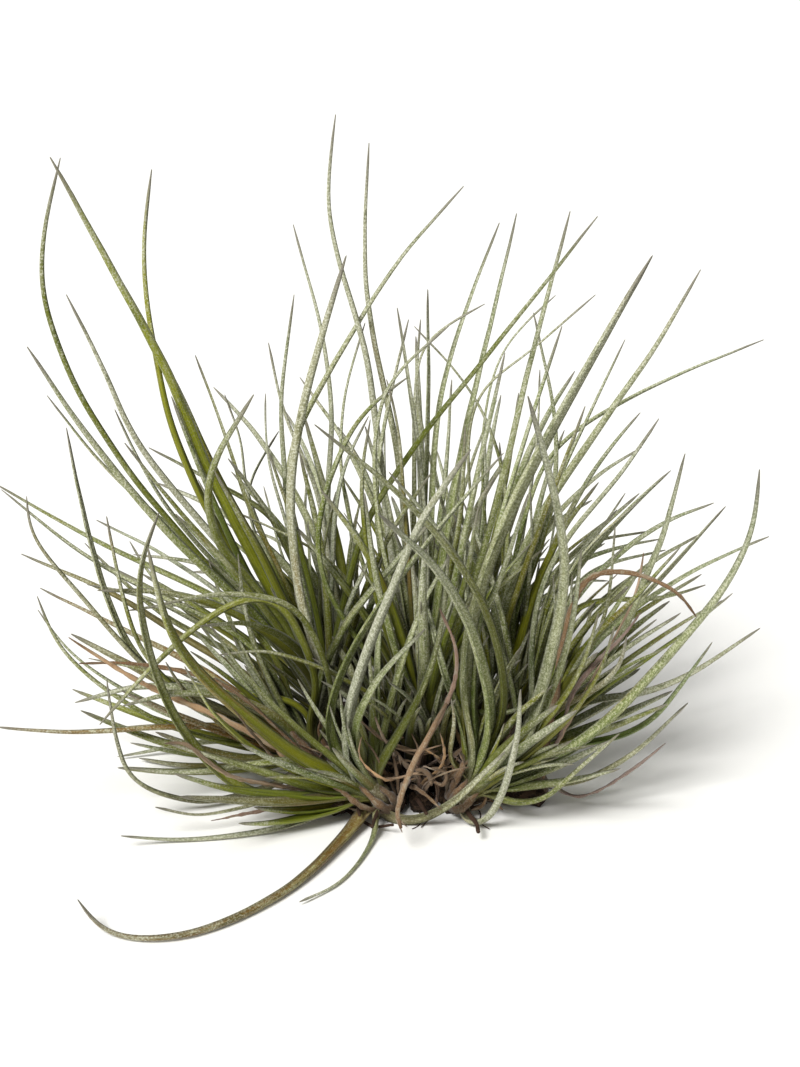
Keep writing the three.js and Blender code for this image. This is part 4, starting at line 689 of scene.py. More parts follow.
def grow_leaves():
    """Every leaf of the plant as stations with half widths, before they are moved clear of each other."""
    leaves = []
    seed = GROWTH_SEED
    for node, rosette in ROSETTES.items():
        seed += SEED_STEP
        draw = seeded_draws(seed).__next__
        foot, axis = seat(rosette)
        middle = foot + axis * BULB_HEIGHT * BULB_MIDDLE
        for tone, width, depth, readings in rosette["leaves"]:
            route = route_points(middle, width, depth, readings)
            start = root_of(foot, axis, route[0], draw)
            leaves.append(make_leaf(node, tone, width, rise(start, axis, route)))
        for fan in rosette["fans"]:
            for i in range(fan[0]):
                width = 2.6 + 1.2 * draw()
                route = fan_points(middle, fan, i, width, draw)
                tone = FAN_TONES[int(draw() * len(FAN_TONES))]
                start = root_of(foot, axis, route[0], draw)
                leaves.append(make_leaf(node, tone, width, rise(start, axis, route)))
        azimuth = math.degrees(math.atan2(CROWN_HUB[1] - foot[1], CROWN_HUB[0] - foot[0]))
        inward = [(azimuth + s * (14 + 26 * draw()), 62 + 42 * draw(), 76 + 10 * draw()) for s in (-1, 1)]
        for direction, length, climb in [*inward, *rosette["fill"]]:
            width = 2.2 + 1.2 * draw()
            route = fill_points(middle, direction, length, climb)
            start = root_of(foot, axis, route[0], draw)
            leaves.append(make_leaf(node, rosette["tone"], width, [start, *route]))
    for node, bunch in DRY.items():
        seed += SEED_STEP
        draw = seeded_draws(seed).__next__
        foot, top = bunch_ends(bunch)
        for tone, width, depth, readings in bunch["leaves"]:
            start = foot + (top - foot) * (0.35 + 0.4 * draw())
            route = route_points(start, width, depth, readings)
            leaves.append(make_leaf(node, tone, width, [start, *route]))
    return leaves


def stem_end(foot):
    """Where the creeping stem to a foot ends: a little under it, but over the surface."""
    return np.array([foot[0], foot[1], max(3.0, foot[2] - 1.5)])


def obstacles():
    """Bulbs, woody stems and dry sheaths that leaves keep clear of: node, two ends and a radius."""
    blocks = []
    for node, rosette in ROSETTES.items():
        foot, axis = seat(rosette)
        blocks.append((node, foot + axis * BULB_RADIUS * 0.8, foot + axis * BULB_HEIGHT * 0.72, BULB_RADIUS))
        blocks.append(("crown_with_roots", CROWN_HUB, stem_end(foot), STEM_RADIUS))
    for node, bunch in DRY.items():
        foot, top = bunch_ends(bunch)
        blocks.append((node, foot + (top - foot) * 0.2, top, bunch["girth"] * 0.8))
    return blocks


def near_pairs(p, half, a, b, group, leaf, inner, reach):
    """Pairs of segments that are close: of different nodes, or of two leaves of a node well out from its bulb."""
    middle = (p[a] + p[b]) / 2
    radius = np.linalg.norm(p[a] - p[b], axis=1) / 2 + np.maximum(half[a], half[b])
    apart = np.linalg.norm(middle[:, None] - middle[None], axis=2)
    close = apart < radius[:, None] + radius[None] + reach
    close &= (leaf[:, None] >= 0) | (leaf[None] >= 0)
    same = group[:, None] == group[None]
    close &= ~(same & ((leaf[:, None] == leaf[None]) | inner[:, None] | inner[None]))
    return np.nonzero(np.triu(close, 1))


def spread_leaves(leaves, blocks):
    """Moves the leaves of different rosettes apart in small steps, mostly along the line of sight.

    Each round, two segments nearer than their half widths and a gap share the lack between them, by how free
    each end is, along a mix of the direction that parts them and the sight line.
    """
    nodes = list(ROSETTES) + list(DRY) + ["crown_with_roots"]
    sizes = [len(x["line"]) for x in leaves]
    first = np.cumsum([0, *sizes])[:-1]
    p = np.vstack([x["line"] for x in leaves] + [np.stack([one, two]) for _, one, two, _ in blocks])
    half = np.concatenate([x["half"] for x in leaves] + [[radius] * 2 for *_, radius in blocks])
    count = sum(sizes)
    free = np.zeros(len(p))
    free[:count] = np.concatenate([x["free"] for x in leaves])
    low = np.full(len(p), -np.inf)
    low[:count] = half[:count] * 1.06 + FLOOR_GAP
    segments = [f + np.arange(n - 1) for f, n in zip(first, sizes)]
    a = np.concatenate([*segments, count + 2 * np.arange(len(blocks))])
    b = a + 1
    leaf = np.concatenate([np.repeat(np.arange(len(leaves)), np.array(sizes) - 1), np.full(len(blocks), -1)])
    owners = [leaves[k]["node"] for k in leaf if k >= 0] + [block[0] for block in blocks]
    group = np.array([nodes.index(owner) for owner in owners])
    start = np.concatenate([x["along"][:-1] for x in leaves] + [np.full(len(blocks), np.inf)])
    inner = start < SISTER_START
    for turn in range(ROUNDS):
        if turn % LOOK_EVERY == 0:
            m, n = near_pairs(p, half, a, b, group, leaf, inner, LOOK_REACH)
            gap = np.where(group[m] == group[n], SISTER_GAP, LEAF_GAP)
        ma, mb, na, nb = a[m], b[m], a[n], b[n]
        d1, d2, r = p[mb] - p[ma], p[nb] - p[na], p[ma] - p[na]
        aa = (d1 * d1).sum(1) + 1e-9
        ee = (d2 * d2).sum(1) + 1e-9
        f, c, x = (d2 * r).sum(1), (d1 * r).sum(1), (d1 * d2).sum(1)
        s = np.clip((x * f - c * ee) / (aa * ee - x * x + 1e-9 * aa * ee), 0, 1)
        t = np.clip((x * s + f) / ee, 0, 1)
        s = np.clip((x * t - c) / aa, 0, 1)
        away = r + d1 * s[:, None] - d2 * t[:, None]
        distance = np.linalg.norm(away, axis=1) + 1e-9
        wanted = half[ma] + (half[mb] - half[ma]) * s + half[na] + (half[nb] - half[na]) * t + gap
        share_one = free[ma] * (1 - s) + free[mb] * s
        share_two = free[na] * (1 - t) + free[nb] * t
        whole = share_one + share_two
        hit = (wanted > distance) & (whole >= 1e-6)
        parting = (away / distance[:, None])[hit]
        facing = np.where(parting @ TOWARD > 0, 1.0, -1.0)
        aim = unit(parting * PARTING_SHARE + facing[:, None] * TOWARD * SIGHT_SHARE)
        gain = np.maximum(PARTING_SHARE, (aim * parting).sum(1))
        move = EASE * (wanted - distance)[hit] / gain
        push = np.zeros((len(p), 4))
        ends = ((ma, 1 - s, share_one), (mb, s, share_one), (na, 1 - t, -share_two), (nb, t, -share_two))
        for index, weight, step in ends:
            w = weight[hit]
            lift = w * move * (step[hit] / whole[hit]) * np.minimum(1.6, 1 / (w * w + (1 - w) ** 2))
            moved = (w > 0) & (free[index[hit]] > 0)
            load = np.column_stack([aim * lift[:, None], w])[moved]
            np.add.at(push, index[hit][moved], load)
        damped = push[:, :3] / np.maximum(1, np.sqrt(push[:, 3:]))
        size = np.linalg.norm(damped, axis=1, keepdims=True)
        p += damped * np.minimum(1, LONGEST_STEP / np.maximum(size, 1e-9))
        p[:, 2] = np.maximum(p[:, 2], low)
    for x, f, n in zip(leaves, first, sizes):
        x["line"] = p[f : f + n].copy()
    return leaves


def carried(first_side, tangents):
    """Side directions along lines: the first one, projected off each tangent in turn."""
    sides = np.empty_like(tangents)
    side = first_side
    for i in range(tangents.shape[1]):
        side = unit(side - dot(side, tangents[:, i]) * tangents[:, i])
        sides[:, i] = side
    return sides


def section_frames(lines, first_side, twist):
    """Tangent, side and upper directions along lines, turned about the tangent by the twist."""
    tangents = unit(np.gradient(lines, axis=1))
    side = carried(first_side, tangents)
    upper = unit(np.cross(tangents, side))
    c, s = np.cos(twist)[..., None], np.sin(twist)[..., None]
    return side * c + upper * s, upper * c - side * s


def channel_section(half, depth, cup, thick):
    """A channelled section: an outer arc from edge to edge and an inner arc that lines it.

    The outer arc is part of an ellipse, as wide as the blade and as deep as the depth, from minus to plus the
    cup angle. The inner arc lies inside it by the thickness, and meets it at both edges.
    """
    back = np.linspace(0.68, -0.68, INNER_POINTS)
    across = np.concatenate([np.linspace(-1, 1, OUTER_POINTS), back])
    inside = np.concatenate([np.zeros(OUTER_POINTS), np.sqrt(1 - back**2)])
    wall = thick[..., None] * (0.12 * (inside > 0) + 0.88 * inside)
    angle = across * cup[..., None]
    widest = np.sin(np.minimum(cup, math.pi / 2))
    tall = depth / (1 - np.cos(cup))
    x = (half / widest)[..., None] * np.sin(angle) * (1 - wall)
    y = tall[..., None] * (1 - np.cos(angle) * (1 - wall)) - depth[..., None] * KEEL_SHARE
    return x, y, across, inside > 0


def round_section(radius, sides):
    """A round section with the given number of sides."""
    angle = np.arange(sides) * ROUND / sides
    return radius[..., None] * np.cos(angle), radius[..., None] * np.sin(angle)


def rings_of(lines, side, upper, x, y):
    """Rings of points about each station of each line, from section places along side and upper."""
    return lines[:, :, None] + side[:, :, None] * x[..., None] + upper[:, :, None] * y[..., None]


def skin(rings, ends):
    """Closed skins over rings (skins, rings, sides, 3), each with a point at both ends.

    Returns points, four-sided and three-sided faces, and for every face corner its place in a map where each
    skin has a strip of its own, as wide as it is round and as tall as it is long.
    """
    count, length, sides = rings.shape[:3]
    each = length * sides + 2
    points = np.concatenate([rings.reshape(count, -1, 3), ends], axis=1)
    i, k = np.meshgrid(np.arange(length - 1), np.arange(sides), indexing="ij")
    after = (k + 1) % sides
    quad = [i * sides + k, i * sides + after, (i + 1) * sides + after, (i + 1) * sides + k]
    u = np.stack([k, k + 1, k + 1, k], -1).reshape(-1, 4) / sides
    v = (np.stack([i, i, i + 1, i + 1], -1).reshape(-1, 4) + 1) / (length + 1)
    k = np.arange(sides)
    after = (k + 1) % sides
    last = (length - 1) * sides
    base = np.stack([np.full(sides, each - 2), after, k], -1)
    tip = np.stack([np.full(sides, each - 1), last + k, last + after], -1)
    u_ends = np.vstack([np.stack([k + 0.5, k + 1, k], -1), np.stack([k + 0.5, k, k + 1], -1)]) / sides
    v_ends = np.repeat([[0.0, 1, 1], [length + 1.0, length, length]], sides, axis=0) / (length + 1)
    start = (np.arange(count) * each)[:, None, None]
    quads = (start + np.stack(quad, -1).reshape(-1, 4)).reshape(-1, 4)
    tris = (start + np.vstack([base, tip])).reshape(-1, 3)
    strip_rows = max(1, round(math.sqrt(count / 24)))
    columns = math.ceil(count / strip_rows)
    strip = np.arange(count)[:, None, None]

    def place(u, v):
        across = (strip % columns + 0.04 + 0.92 * u[None]) / columns
        up = (strip // columns + 0.01 + 0.98 * v[None]) / strip_rows
        return np.stack([across, up], -1).reshape(-1, 2)

    return points.reshape(-1, 3), quads, tris, np.concatenate([place(u, v), place(u_ends, v_ends)])


def joined(parts):
    """Several skins with their values as one: points, faces and corners in turn, with the faces counted on."""
    points, quads, tris, fours, threes, first = [], [], [], [], [], 0
    for n, ((p, q, t, c), _) in enumerate(parts):
        points.append(p)
        quads.append(q + first)
        tris.append(t + first)
        c = (c + [n, 0]) / [len(parts), 1]
        fours.append(c[: q.size])
        threes.append(c[q.size :])
        first += len(p)
    values = {key: np.concatenate([own[key] for _, own in parts]) for key in parts[0][1]}
    return *(np.concatenate(x) for x in (points, quads, tris, fours + threes)), values


def faces_outwards(points, quads, tris):
    """Whether the faces point outwards, which is when the volume they enclose comes out positive."""
    a, b, c, d = (points[quads[:, k]] for k in range(4))
    volume = (np.cross(a, b) * c).sum() + (np.cross(a, c) * d).sum()
    e, f, g = (points[tris[:, k]] for k in range(3))
    return volume + (np.cross(e, f) * g).sum() > 0


def piece(name, parts, material):
    """A mesh object in metres from skins in millimetres, with its strip map and its values at each point."""
    points, quads, tris, corners, values = joined(parts)
    if not faces_outwards(points, quads, tris):
        quads, tris = quads[:, ::-1], tris[:, ::-1]
        fours, threes = corners[: quads.size].reshape(-1, 4, 2), corners[quads.size :].reshape(-1, 3, 2)
        corners = np.concatenate([fours[:, ::-1].reshape(-1, 2), threes[:, ::-1].reshape(-1, 2)])
    mesh = bpy.data.meshes.new(name)
    mesh.vertices.add(len(points))
    mesh.vertices.foreach_set("co", (points * MM).astype(np.float32).ravel())
    loops = np.concatenate([quads.ravel(), tris.ravel()]).astype(np.int32)
    mesh.loops.add(len(loops))
    mesh.loops.foreach_set("vertex_index", loops)
    starts = np.concatenate([np.arange(len(quads)) * 4, quads.size + np.arange(len(tris)) * 3])
    mesh.polygons.add(len(starts))
    mesh.polygons.foreach_set("loop_start", starts.astype(np.int32))
    mesh.polygons.foreach_set("use_smooth", np.ones(len(starts), bool))
    mesh.materials.append(material)
    mesh.update(calc_edges=True)
    strips = mesh.uv_layers.new(name=STRIP_MAP)
    strips.uv.foreach_set("vector", corners.astype(np.float32).ravel())
    for key, value in values.items():
        kind, field = ("FLOAT_COLOR", "color") if value.shape[1] == 4 else ("FLOAT_VECTOR", "vector")
        attribute = mesh.attributes.new(key, kind, "POINT")
        attribute.data.foreach_set(field, value.astype(np.float32).ravel())
    if mesh.validate(verbose=False):
        raise RuntimeError(name + " has faces that don't close")
    made = bpy.data.objects.new(name, mesh)
    bpy.context.scene.collection.objects.link(made)
    return made


def leaf_lines(leaves, rings):
    """Fine lines of leaves (leaves, rings, 3), smooth through their stations, with their length so far.

    Rings stand at equal steps of the share of the length plus a part for the turn, so closer where it bends.
    """
    lines = []
    for leaf in leaves:
        line, length, _ = turned_line(np.vstack([leaf["foot"], leaf["line"]]), FINE_SAMPLES)
        spread = min(5.5, 0.045 * length[-1]) * FINE_SAMPLES / length[-1]
        line = softened(along_line(line, length, FINE_SAMPLES), spread)
        length, turn = turned_line(line, FINE_SAMPLES)[1:]
        lines.append(along_line(line, length / length[-1] + 0.7 * turn / max(turn[-1], 0.8), rings - 1))
    return np.array(lines), lengths_of(np.array(lines))


def softened(line, spread):
    """A line with its kinks taken out: each point the mean of its neighbours under a bell curve, ends kept."""
    reach = int(4 * spread) + 1
    bell = np.exp(-0.5 * (np.arange(-reach, reach + 1) / spread) ** 2)
    head = 2 * line[0] - line[reach:0:-1]
    tail = 2 * line[-1] - line[-2 : -reach - 2 : -1]
    padded = np.vstack([head, line, tail])
    return np.stack([np.convolve(padded[:, k], bell / bell.sum(), "valid") for k in range(3)], 1)


def lengths_of(lines):
    """Length so far at each point of each line."""
    steps = np.linalg.norm(np.diff(lines, axis=1), axis=2)
    return np.concatenate([np.zeros((len(lines), 1)), np.cumsum(steps, axis=1)], axis=1)


def clasping_feet(leaves):
    """Adds to each leaf the point in the bulb or bunch from which its sheath rises, and which way it faces."""
    for leaf in leaves:
        if leaf["node"] in ROSETTES:
            foot, axis = seat(ROSETTES[leaf["node"]])
            low, spread = 1.6, 1.7
        else:
            foot, top = bunch_ends(DRY[leaf["node"]])
            axis = unit(top - foot)
            low, spread = 0.6, 0.8
        start = leaf["line"][0]
        side = (start - foot) - axis * ((start - foot) @ axis)
        if np.linalg.norm(side) < 0.2:
            side = leaf["line"][1] - start
            side = side - axis * (side @ axis)
        out = unit(side)
        leaf |= dict(foot=foot + axis * low + out * spread, out=out, axis=axis)
    return leaves


class Wiring:
    """Short calls that add and wire the nodes of one material."""

    def __init__(self, name):
        self.material = bpy.data.materials.new(name)
        self.material.use_nodes = True
        self.tree = self.material.node_tree
        self.tree.nodes.clear()
        self.shader = self.node("ShaderNodeBsdfPrincipled")
        output = self.node("ShaderNodeOutputMaterial")
        self.tree.links.new(self.shader.outputs["BSDF"], output.inputs["Surface"])

    def node(self, kind, sockets=None, **settings):
        made = self.tree.nodes.new(kind)
        for key, value in settings.items():
            setattr(made, key, value)
        for key, value in (sockets or {}).items():
            self.plug(made.inputs[key], value)
        return made

    def plug(self, socket, value):
        if isinstance(value, bpy.types.NodeSocket):
            self.tree.links.new(value, socket)
        elif hasattr(value, "__len__") and len(value) == 3 and socket.type == "RGBA":
            socket.default_value = (*value, 1)
        else:
            socket.default_value = value

    def math(self, operation, *values):
        return self.node("ShaderNodeMath", dict(enumerate(values)), operation=operation).outputs[0]

    def times(self, a, b):
        return self.math("MULTIPLY", a, b)

    def line(self, value, slope, start):
        """A value times a slope, plus a start."""
        return self.math("MULTIPLY_ADD", value, slope, start)

    def over(self, value, low, high, start=0.0, end=1.0):
        """A value spread from low to high into start to end, eased at both ends."""
        sockets = {"Value": value, "From Min": low, "From Max": high, "To Min": start, "To Max": end}
        return self.node("ShaderNodeMapRange", sockets, interpolation_type="SMOOTHSTEP").outputs["Result"]

    def mix(self, factor, a, b, blend="MIX"):
        made = self.node("ShaderNodeMix", {0: factor, 6: a, 7: b}, data_type="RGBA", blend_type=blend)
        return made.outputs[2]

    def laid(self, colour, amount, most, other):
        """A colour with another laid over it, by an amount times the most that it may cover."""
        return self.mix(self.times(amount, most), colour, other)

    def through(self, colour, other):
        """A colour as it looks through another."""
        return self.mix(1.0, colour, other, "MULTIPLY")

    def stretched(self, vector, scale):
        return self.node("ShaderNodeVectorMath", {0: vector, 1: scale}, operation="MULTIPLY").outputs[0]

    def noise(self, vector, scale, detail=2.0, roughness=0.5):
        sockets = {"Vector": vector, "Scale": scale, "Detail": detail, "Roughness": roughness}
        return self.node("ShaderNodeTexNoise", sockets).outputs["Fac"]

    def patches(self, place, along, across, detail=2.0, roughness=0.5, third=1):
        """Noise in patches of so many millimetres along and across a blade."""
        return self.noise(self.stretched(place, (1 / along, 1 / across, third)), 1.0, detail, roughness)

    def cells(self, vector, scale):
        """Distance from the middle of the nearest of many uneven cells."""
        made = self.node("ShaderNodeTexVoronoi", {"Vector": self.stretched(vector, scale), "Scale": 1.0})
        return made.outputs["Distance"]

    def attribute(self, name, output="Vector"):
        return self.node("ShaderNodeAttribute", attribute_name=name).outputs[output]

    def parts(self, vector):
        return tuple(self.node("ShaderNodeSeparateXYZ", {0: vector}).outputs)

    def object_mm(self):
        """Object coordinates in millimetres."""
        place = self.node("ShaderNodeTexCoord").outputs["Object"]
        return self.stretched(place, (1 / MM,) * 3)

    def bump(self, height, strength, distance_mm):
        sockets = {"Height": height, "Strength": strength, "Distance": distance_mm * MM}
        self.plug(self.shader.inputs["Normal"], self.node("ShaderNodeBump", sockets).outputs["Normal"])

    def finish(self, colour, roughness, **constant):
        self.plug(self.shader.inputs["Base Color"], colour)
        self.plug(self.shader.inputs["Roughness"], roughness)
        for key, value in constant.items():
            self.plug(self.shader.inputs[key.replace("_", " ")], value)
        return self.material


def shaded_heart_mask(w):
    """Mask of painted shade: 1 in the middle of the crown, falling to 0 at the surface of a wide ellipsoid about
    it.
    """
    place = w.stretched(w.object_mm(), tuple(1 / radius for radius in SHADED_HEART_RADII))
    inward = w.node("ShaderNodeVectorMath", {0: place, 1: SHADED_HEART_MIDDLE}, operation="DISTANCE").outputs["Value"]
    return w.over(inward, 0.12, 1.0, 1.0, 0.0)


def scaled_leaf(name, tints):
    """Fresh leaf: green tissue with fine veins under silver scales that lie in long patches of fine dots.

    Reads the blade's own colour, its place along and across in millimetres, and its share of the length,
    scale cover and side, where the side is 0 at the keel and 1 at an edge, and 2 more in the channel. The
    scales thicken towards the dry point and are olive low down; the sheath is straw, stained at the foot.
    Bright specks of thick scales are painted highlight, and the edges and the heart of the plant get painted shade.
    """
    w = Wiring(name)
    place = w.attribute("blade_place")
    along, across, _ = w.parts(place)
    length_share, cover, side = w.parts(w.attribute("blade_state"))
    channel = w.math("GREATER_THAN", side, 1.5)
    # edge: 1 near the leaf margins, where painted shade is laid
    edge = w.over(w.line(channel, -2.0, side), 0.55, 1.0)
    # heart: mask of the painted shade in the heart of the plant
    heart = shaded_heart_mask(w)
    wide = w.patches(place, 17, 2.4, 3.0, 0.6)
    broken = w.patches(place, 2.6, 1.1, 2.0, 0.6)

    # Tissue: veins, yellower and blushed patches, bruises that are also clear of scales, and painted shade along
    # the edges
    ribs = w.math("SINE", w.times(across, ROUND / 0.62))
    veins = w.over(w.line(w.patches(place, 20, 0.4), 1.2, ribs), 0.1, 1.5)
    tissue = w.laid(w.attribute("blade_colour", "Color"), veins, 0.3, tints.dark_green_and_edge_shade)
    uneven = w.over(w.patches(place, 28, 6), 0.35, 0.7)
    tissue = w.laid(tissue, uneven, 0.4, w.through(tissue, (1.0, 0.93, 0.5)))
    blush = w.over(w.patches(place, 46, 9, third=2.3), 0.6, 0.74)
    tissue = w.laid(tissue, blush, 0.42, tints.blush)
    bruise = w.over(w.patches(place, 11, 3.2, 3.0, 0.66, 1.7), 0.57, 0.68)
    # Bruises darken the tissue; painted shade darkens it along the edges
    tissue = w.mix(w.math("MAXIMUM", w.times(bruise, 0.55), w.times(edge, 0.4)), tissue, tints.dark_green_and_edge_shade)

    # Scales: as thick as the leaf's own cover has it, more so towards the tip, thin over ribs, and thinned in the
    # heart of the plant as part of its painted shade
    gain = w.line(w.over(length_share, 0.12, 0.85), 0.46, -0.24)
    thick = w.line(gain, w.math("ADD", cover, 0.36), cover)
    thick = w.math("MAXIMUM", thick, w.over(length_share, 0.55, 0.85, 0.0, 0.52))
    level = w.line(w.math("SUBTRACT", thick, 0.5), 0.5, w.line(wide, 0.7, w.times(broken, 0.3)))
    dots = w.over(w.noise(w.object_mm(), 1.7, 1.0, 0.6), 0.42, 0.6)
    clean = w.math("SUBTRACT", 1.0, w.times(bruise, 0.7))
    amount = w.times(w.times(w.over(level, 0.34, 0.68), clean), w.line(dots, 0.5, 0.46))
    amount = w.times(w.times(amount, w.line(veins, -0.18, 1.0)), w.line(heart, -0.45, 1.0))
    grown = w.math("MAXIMUM", w.over(length_share, 0.1, 0.95), w.over(cover, 0.6, 0.78))
    colour = w.mix(amount, tissue, w.mix(grown, tints.young, tints.scales))
    grain = w.over(w.cells(place, (2.2, 3.4, 1)), 0.15, 0.75, 1.0, 0.0)
    # Painted highlight: bright specks where the scales are thick
    painted_glint_specks = w.times(w.times(dots, grain), w.over(thick, 0.0, 0.7, 0.05, 0.7))
    colour = w.mix(painted_glint_specks, colour, tints.painted_glint)

    # What lies over both: painted shade along the edges, the dry point, straw and stains low down, a darker and
    # greener channel side, and painted shade towards the heart of the plant
    # Painted shade: the colour darkened along the leaf edges
    colour = w.laid(colour, edge, 0.34, w.through(colour, (0.46, 0.5, 0.36)))
    colour = w.laid(colour, w.over(w.line(broken, 0.05, length_share), 0.9, 1.01), 0.85, tints.point)
    colour = w.laid(colour, w.over(w.line(wide, 14, along), 10, 26, 1.0, 0.0), 0.45, tints.sheath)
    colour = w.laid(colour, w.over(w.line(broken, 7, along), 4, 13, 1.0, 0.0), 0.75, tints.stain)
    colour = w.laid(colour, channel, 0.16, w.through(colour, (0.72, 0.8, 0.6)))
    # Painted shade: the colour darkened towards the heart of the plant
    colour = w.mix(heart, colour, w.through(colour, tints.damp))
    scurf = w.times(w.line(grain, 0.5, w.times(dots, 0.6)), amount)
    w.bump(w.line(veins, 0.3, scurf), 0.7, 0.18)
    roughness = w.over(amount, 0.0, 0.7, 0.5, 0.82)
    return w.finish(colour, roughness, Specular_IOR_Level=0.3, Sheen_Weight=0.08, Sheen_Roughness=0.45)


def dead_leaf(name, dead, tints):
    """Dead leaf: its own tint with long streaks, dark blotches and pale torn spots, wrinkled along its length."""
    w = Wiring(name)
    place = w.attribute("blade_place")
    along, _, _ = w.parts(place)
    length_share, _, _ = w.parts(w.attribute("blade_state"))
    streaks = w.patches(place, 9, 0.42, 3.0, 0.6)
    blotches = w.patches(place, 7, 3.0, 3.0, 0.65)
    fine = w.noise(w.object_mm(), 2.6, 1.0, 0.6)
    colour = w.laid(w.attribute("blade_colour", "Color"), w.over(streaks, 0.45, 0.72), 0.55, dead.streak)
    colour = w.laid(colour, w.over(blotches, 0.55, 0.72), 0.5, dead.streak)
    colour = w.laid(colour, w.over(blotches, 0.46, 0.3), 0.35, tints.scales)
    colour = w.laid(colour, w.over(fine, 0.5, 0.68), 0.25, tints.scales)
    colour = w.laid(colour, w.over(length_share, 0.88, 1.0), 0.7, dead.streak)
    colour = w.laid(colour, w.over(w.line(blotches, 10, along), 6, 18, 1.0, 0.0), 0.6, tints.stain)
    # Painted shade: the colour darkened towards the heart of the plant
    colour = w.laid(colour, shaded_heart_mask(w), 0.8, w.through(colour, tints.damp))
    w.bump(w.math("ADD", streaks, w.times(fine, 0.4)), 0.7, 0.3)
    return w.finish(colour, w.over(streaks, 0.3, 0.7, 0.68, 0.92), Specular_IOR_Level=0.3, Sheen_Weight=0.12)


def crown_bark(name, dead):
    """Bark: dark wood broken into flakes by noise over cells, their weathered edges paler."""
    w = Wiring(name)
    place = w.object_mm()
    bent = w.noise(w.stretched(place, (0.5, 0.5, 0.9)), 1.0, 4.0, 0.65)
    fibres = w.noise(w.stretched(place, (2.8, 2.8, 0.5)), 1.0, 3.0, 0.6)
    flakes = w.cells(place, (0.55, 0.55, 0.95))
    edge = w.over(w.math("ADD", flakes, w.times(bent, 0.4)), 0.5, 0.95)
    colour = w.laid(dead.bark, edge, 0.6, dead.flake)
    colour = w.laid(colour, w.over(fibres, 0.5, 0.75), 0.4, dead.root)
    colour = w.laid(colour, w.over(bent, 0.56, 0.75), 0.35, (0.02, 0.015, 0.012))
    w.bump(w.math("ADD", edge, w.times(fibres, 0.6)), 0.9, 0.6)
    return w.finish(colour, w.over(fibres, 0.3, 0.7, 0.8, 0.97), Specular_IOR_Level=0.2)


def wiry_root(name, dead):
    """Root: dark brown, ringed by fine cracks, with paler worn spots."""
    w = Wiring(name)
    place = w.attribute("blade_place")
    rings = w.patches(place, 0.6, 2.0, 3.0, 0.6)
    worn = w.patches(place, 5, 1.5, 2.0, 0.6)
    colour = w.laid(dead.root, w.over(rings, 0.45, 0.7), 0.5, dead.bark)
    colour = w.laid(colour, w.over(worn, 0.55, 0.72), 0.5, dead.flake)
    w.bump(rings, 0.7, 0.25)
    return w.finish(colour, w.over(worn, 0.3, 0.7, 0.7, 0.92), Specular_IOR_Level=0.3)


def pale_floor(name, tint_value):
    """Floor: one pale tint with a faint, wide unevenness."""
    w = Wiring(name)
    cloudy = w.noise(w.node("ShaderNodeTexCoord").outputs["Object"], 1.4, 2.0, 0.5)
    darker = tuple(c * 0.975 for c in tint_value)
    return w.finish(w.mix(w.over(cloudy, 0.35, 0.65), tint_value, darker), 0.85, Specular_IOR_Level=0.2)


def blade_forms(along, leaves, blades):
    """Share of the length, half width, depth, cup and wall for each ring of each leaf.

    The half width follows the leaf's own taper from where it leaves the bulb; the sheath below is wider by the
    clasp and narrows to its foot. Towards the point the blade grows round and solid and runs out fine.
    """
    reach = np.array([np.linalg.norm(leaf["line"][0] - leaf["foot"]) for leaf in leaves])[:, None]
    width = np.array([leaf["width"] for leaf in leaves])[:, None]
    s = np.clip((along - reach) / (along[:, -1:] - reach), 0, 1)
    past = np.maximum(along - reach, 0)
    clasping = np.exp(-((past / 11) ** 2))
    foot = 0.7 + 0.3 * np.clip(along / np.maximum(reach, 1), 0, 1)
    flare = 1 + SHEATH_FLARE * np.maximum(0, 1 - s / SHEATH_REACH) ** 2
    half = width * FULLNESS / 2 * (1 - (1 - TIP_SHARE) * s**TAPER) * flare * (1 + blades.clasp * clasping) * foot
    half = np.maximum(half, THINNEST) * (1 - 0.6 * np.clip((s - 0.95) / 0.05, 0, 1) ** 1.8)
    depth = half * (blades.depth - 0.34 * clasping + 0.5 * s)
    cup = blades.cup - 0.42 * clasping + 0.3 * s
    wall = np.clip(blades.wall - 0.1 * clasping + 0.5 * s**2.4, 0.1, 0.96)
    return s, half, depth, cup, wall


def wavered(lines, side, upper, along, amount, draws):
    """Lines moved across by a wave of two sines that sets in over the first 40 mm."""
    phase = draws.random((len(lines), 4, 1)) * ROUND
    pitch = 14 + 26 * draws.random((len(lines), 4, 1))
    waves = np.sin(along[:, None] * ROUND / pitch + phase)
    onset = np.clip(along / 40, 0, 1) ** 2 * amount
    one = (waves[:, 0] * 0.6 + waves[:, 1] * 0.4) * onset
    two = (waves[:, 2] * 0.6 + waves[:, 3] * 0.4) * onset
    return lines + side * one[..., None] + upper * two[..., None]


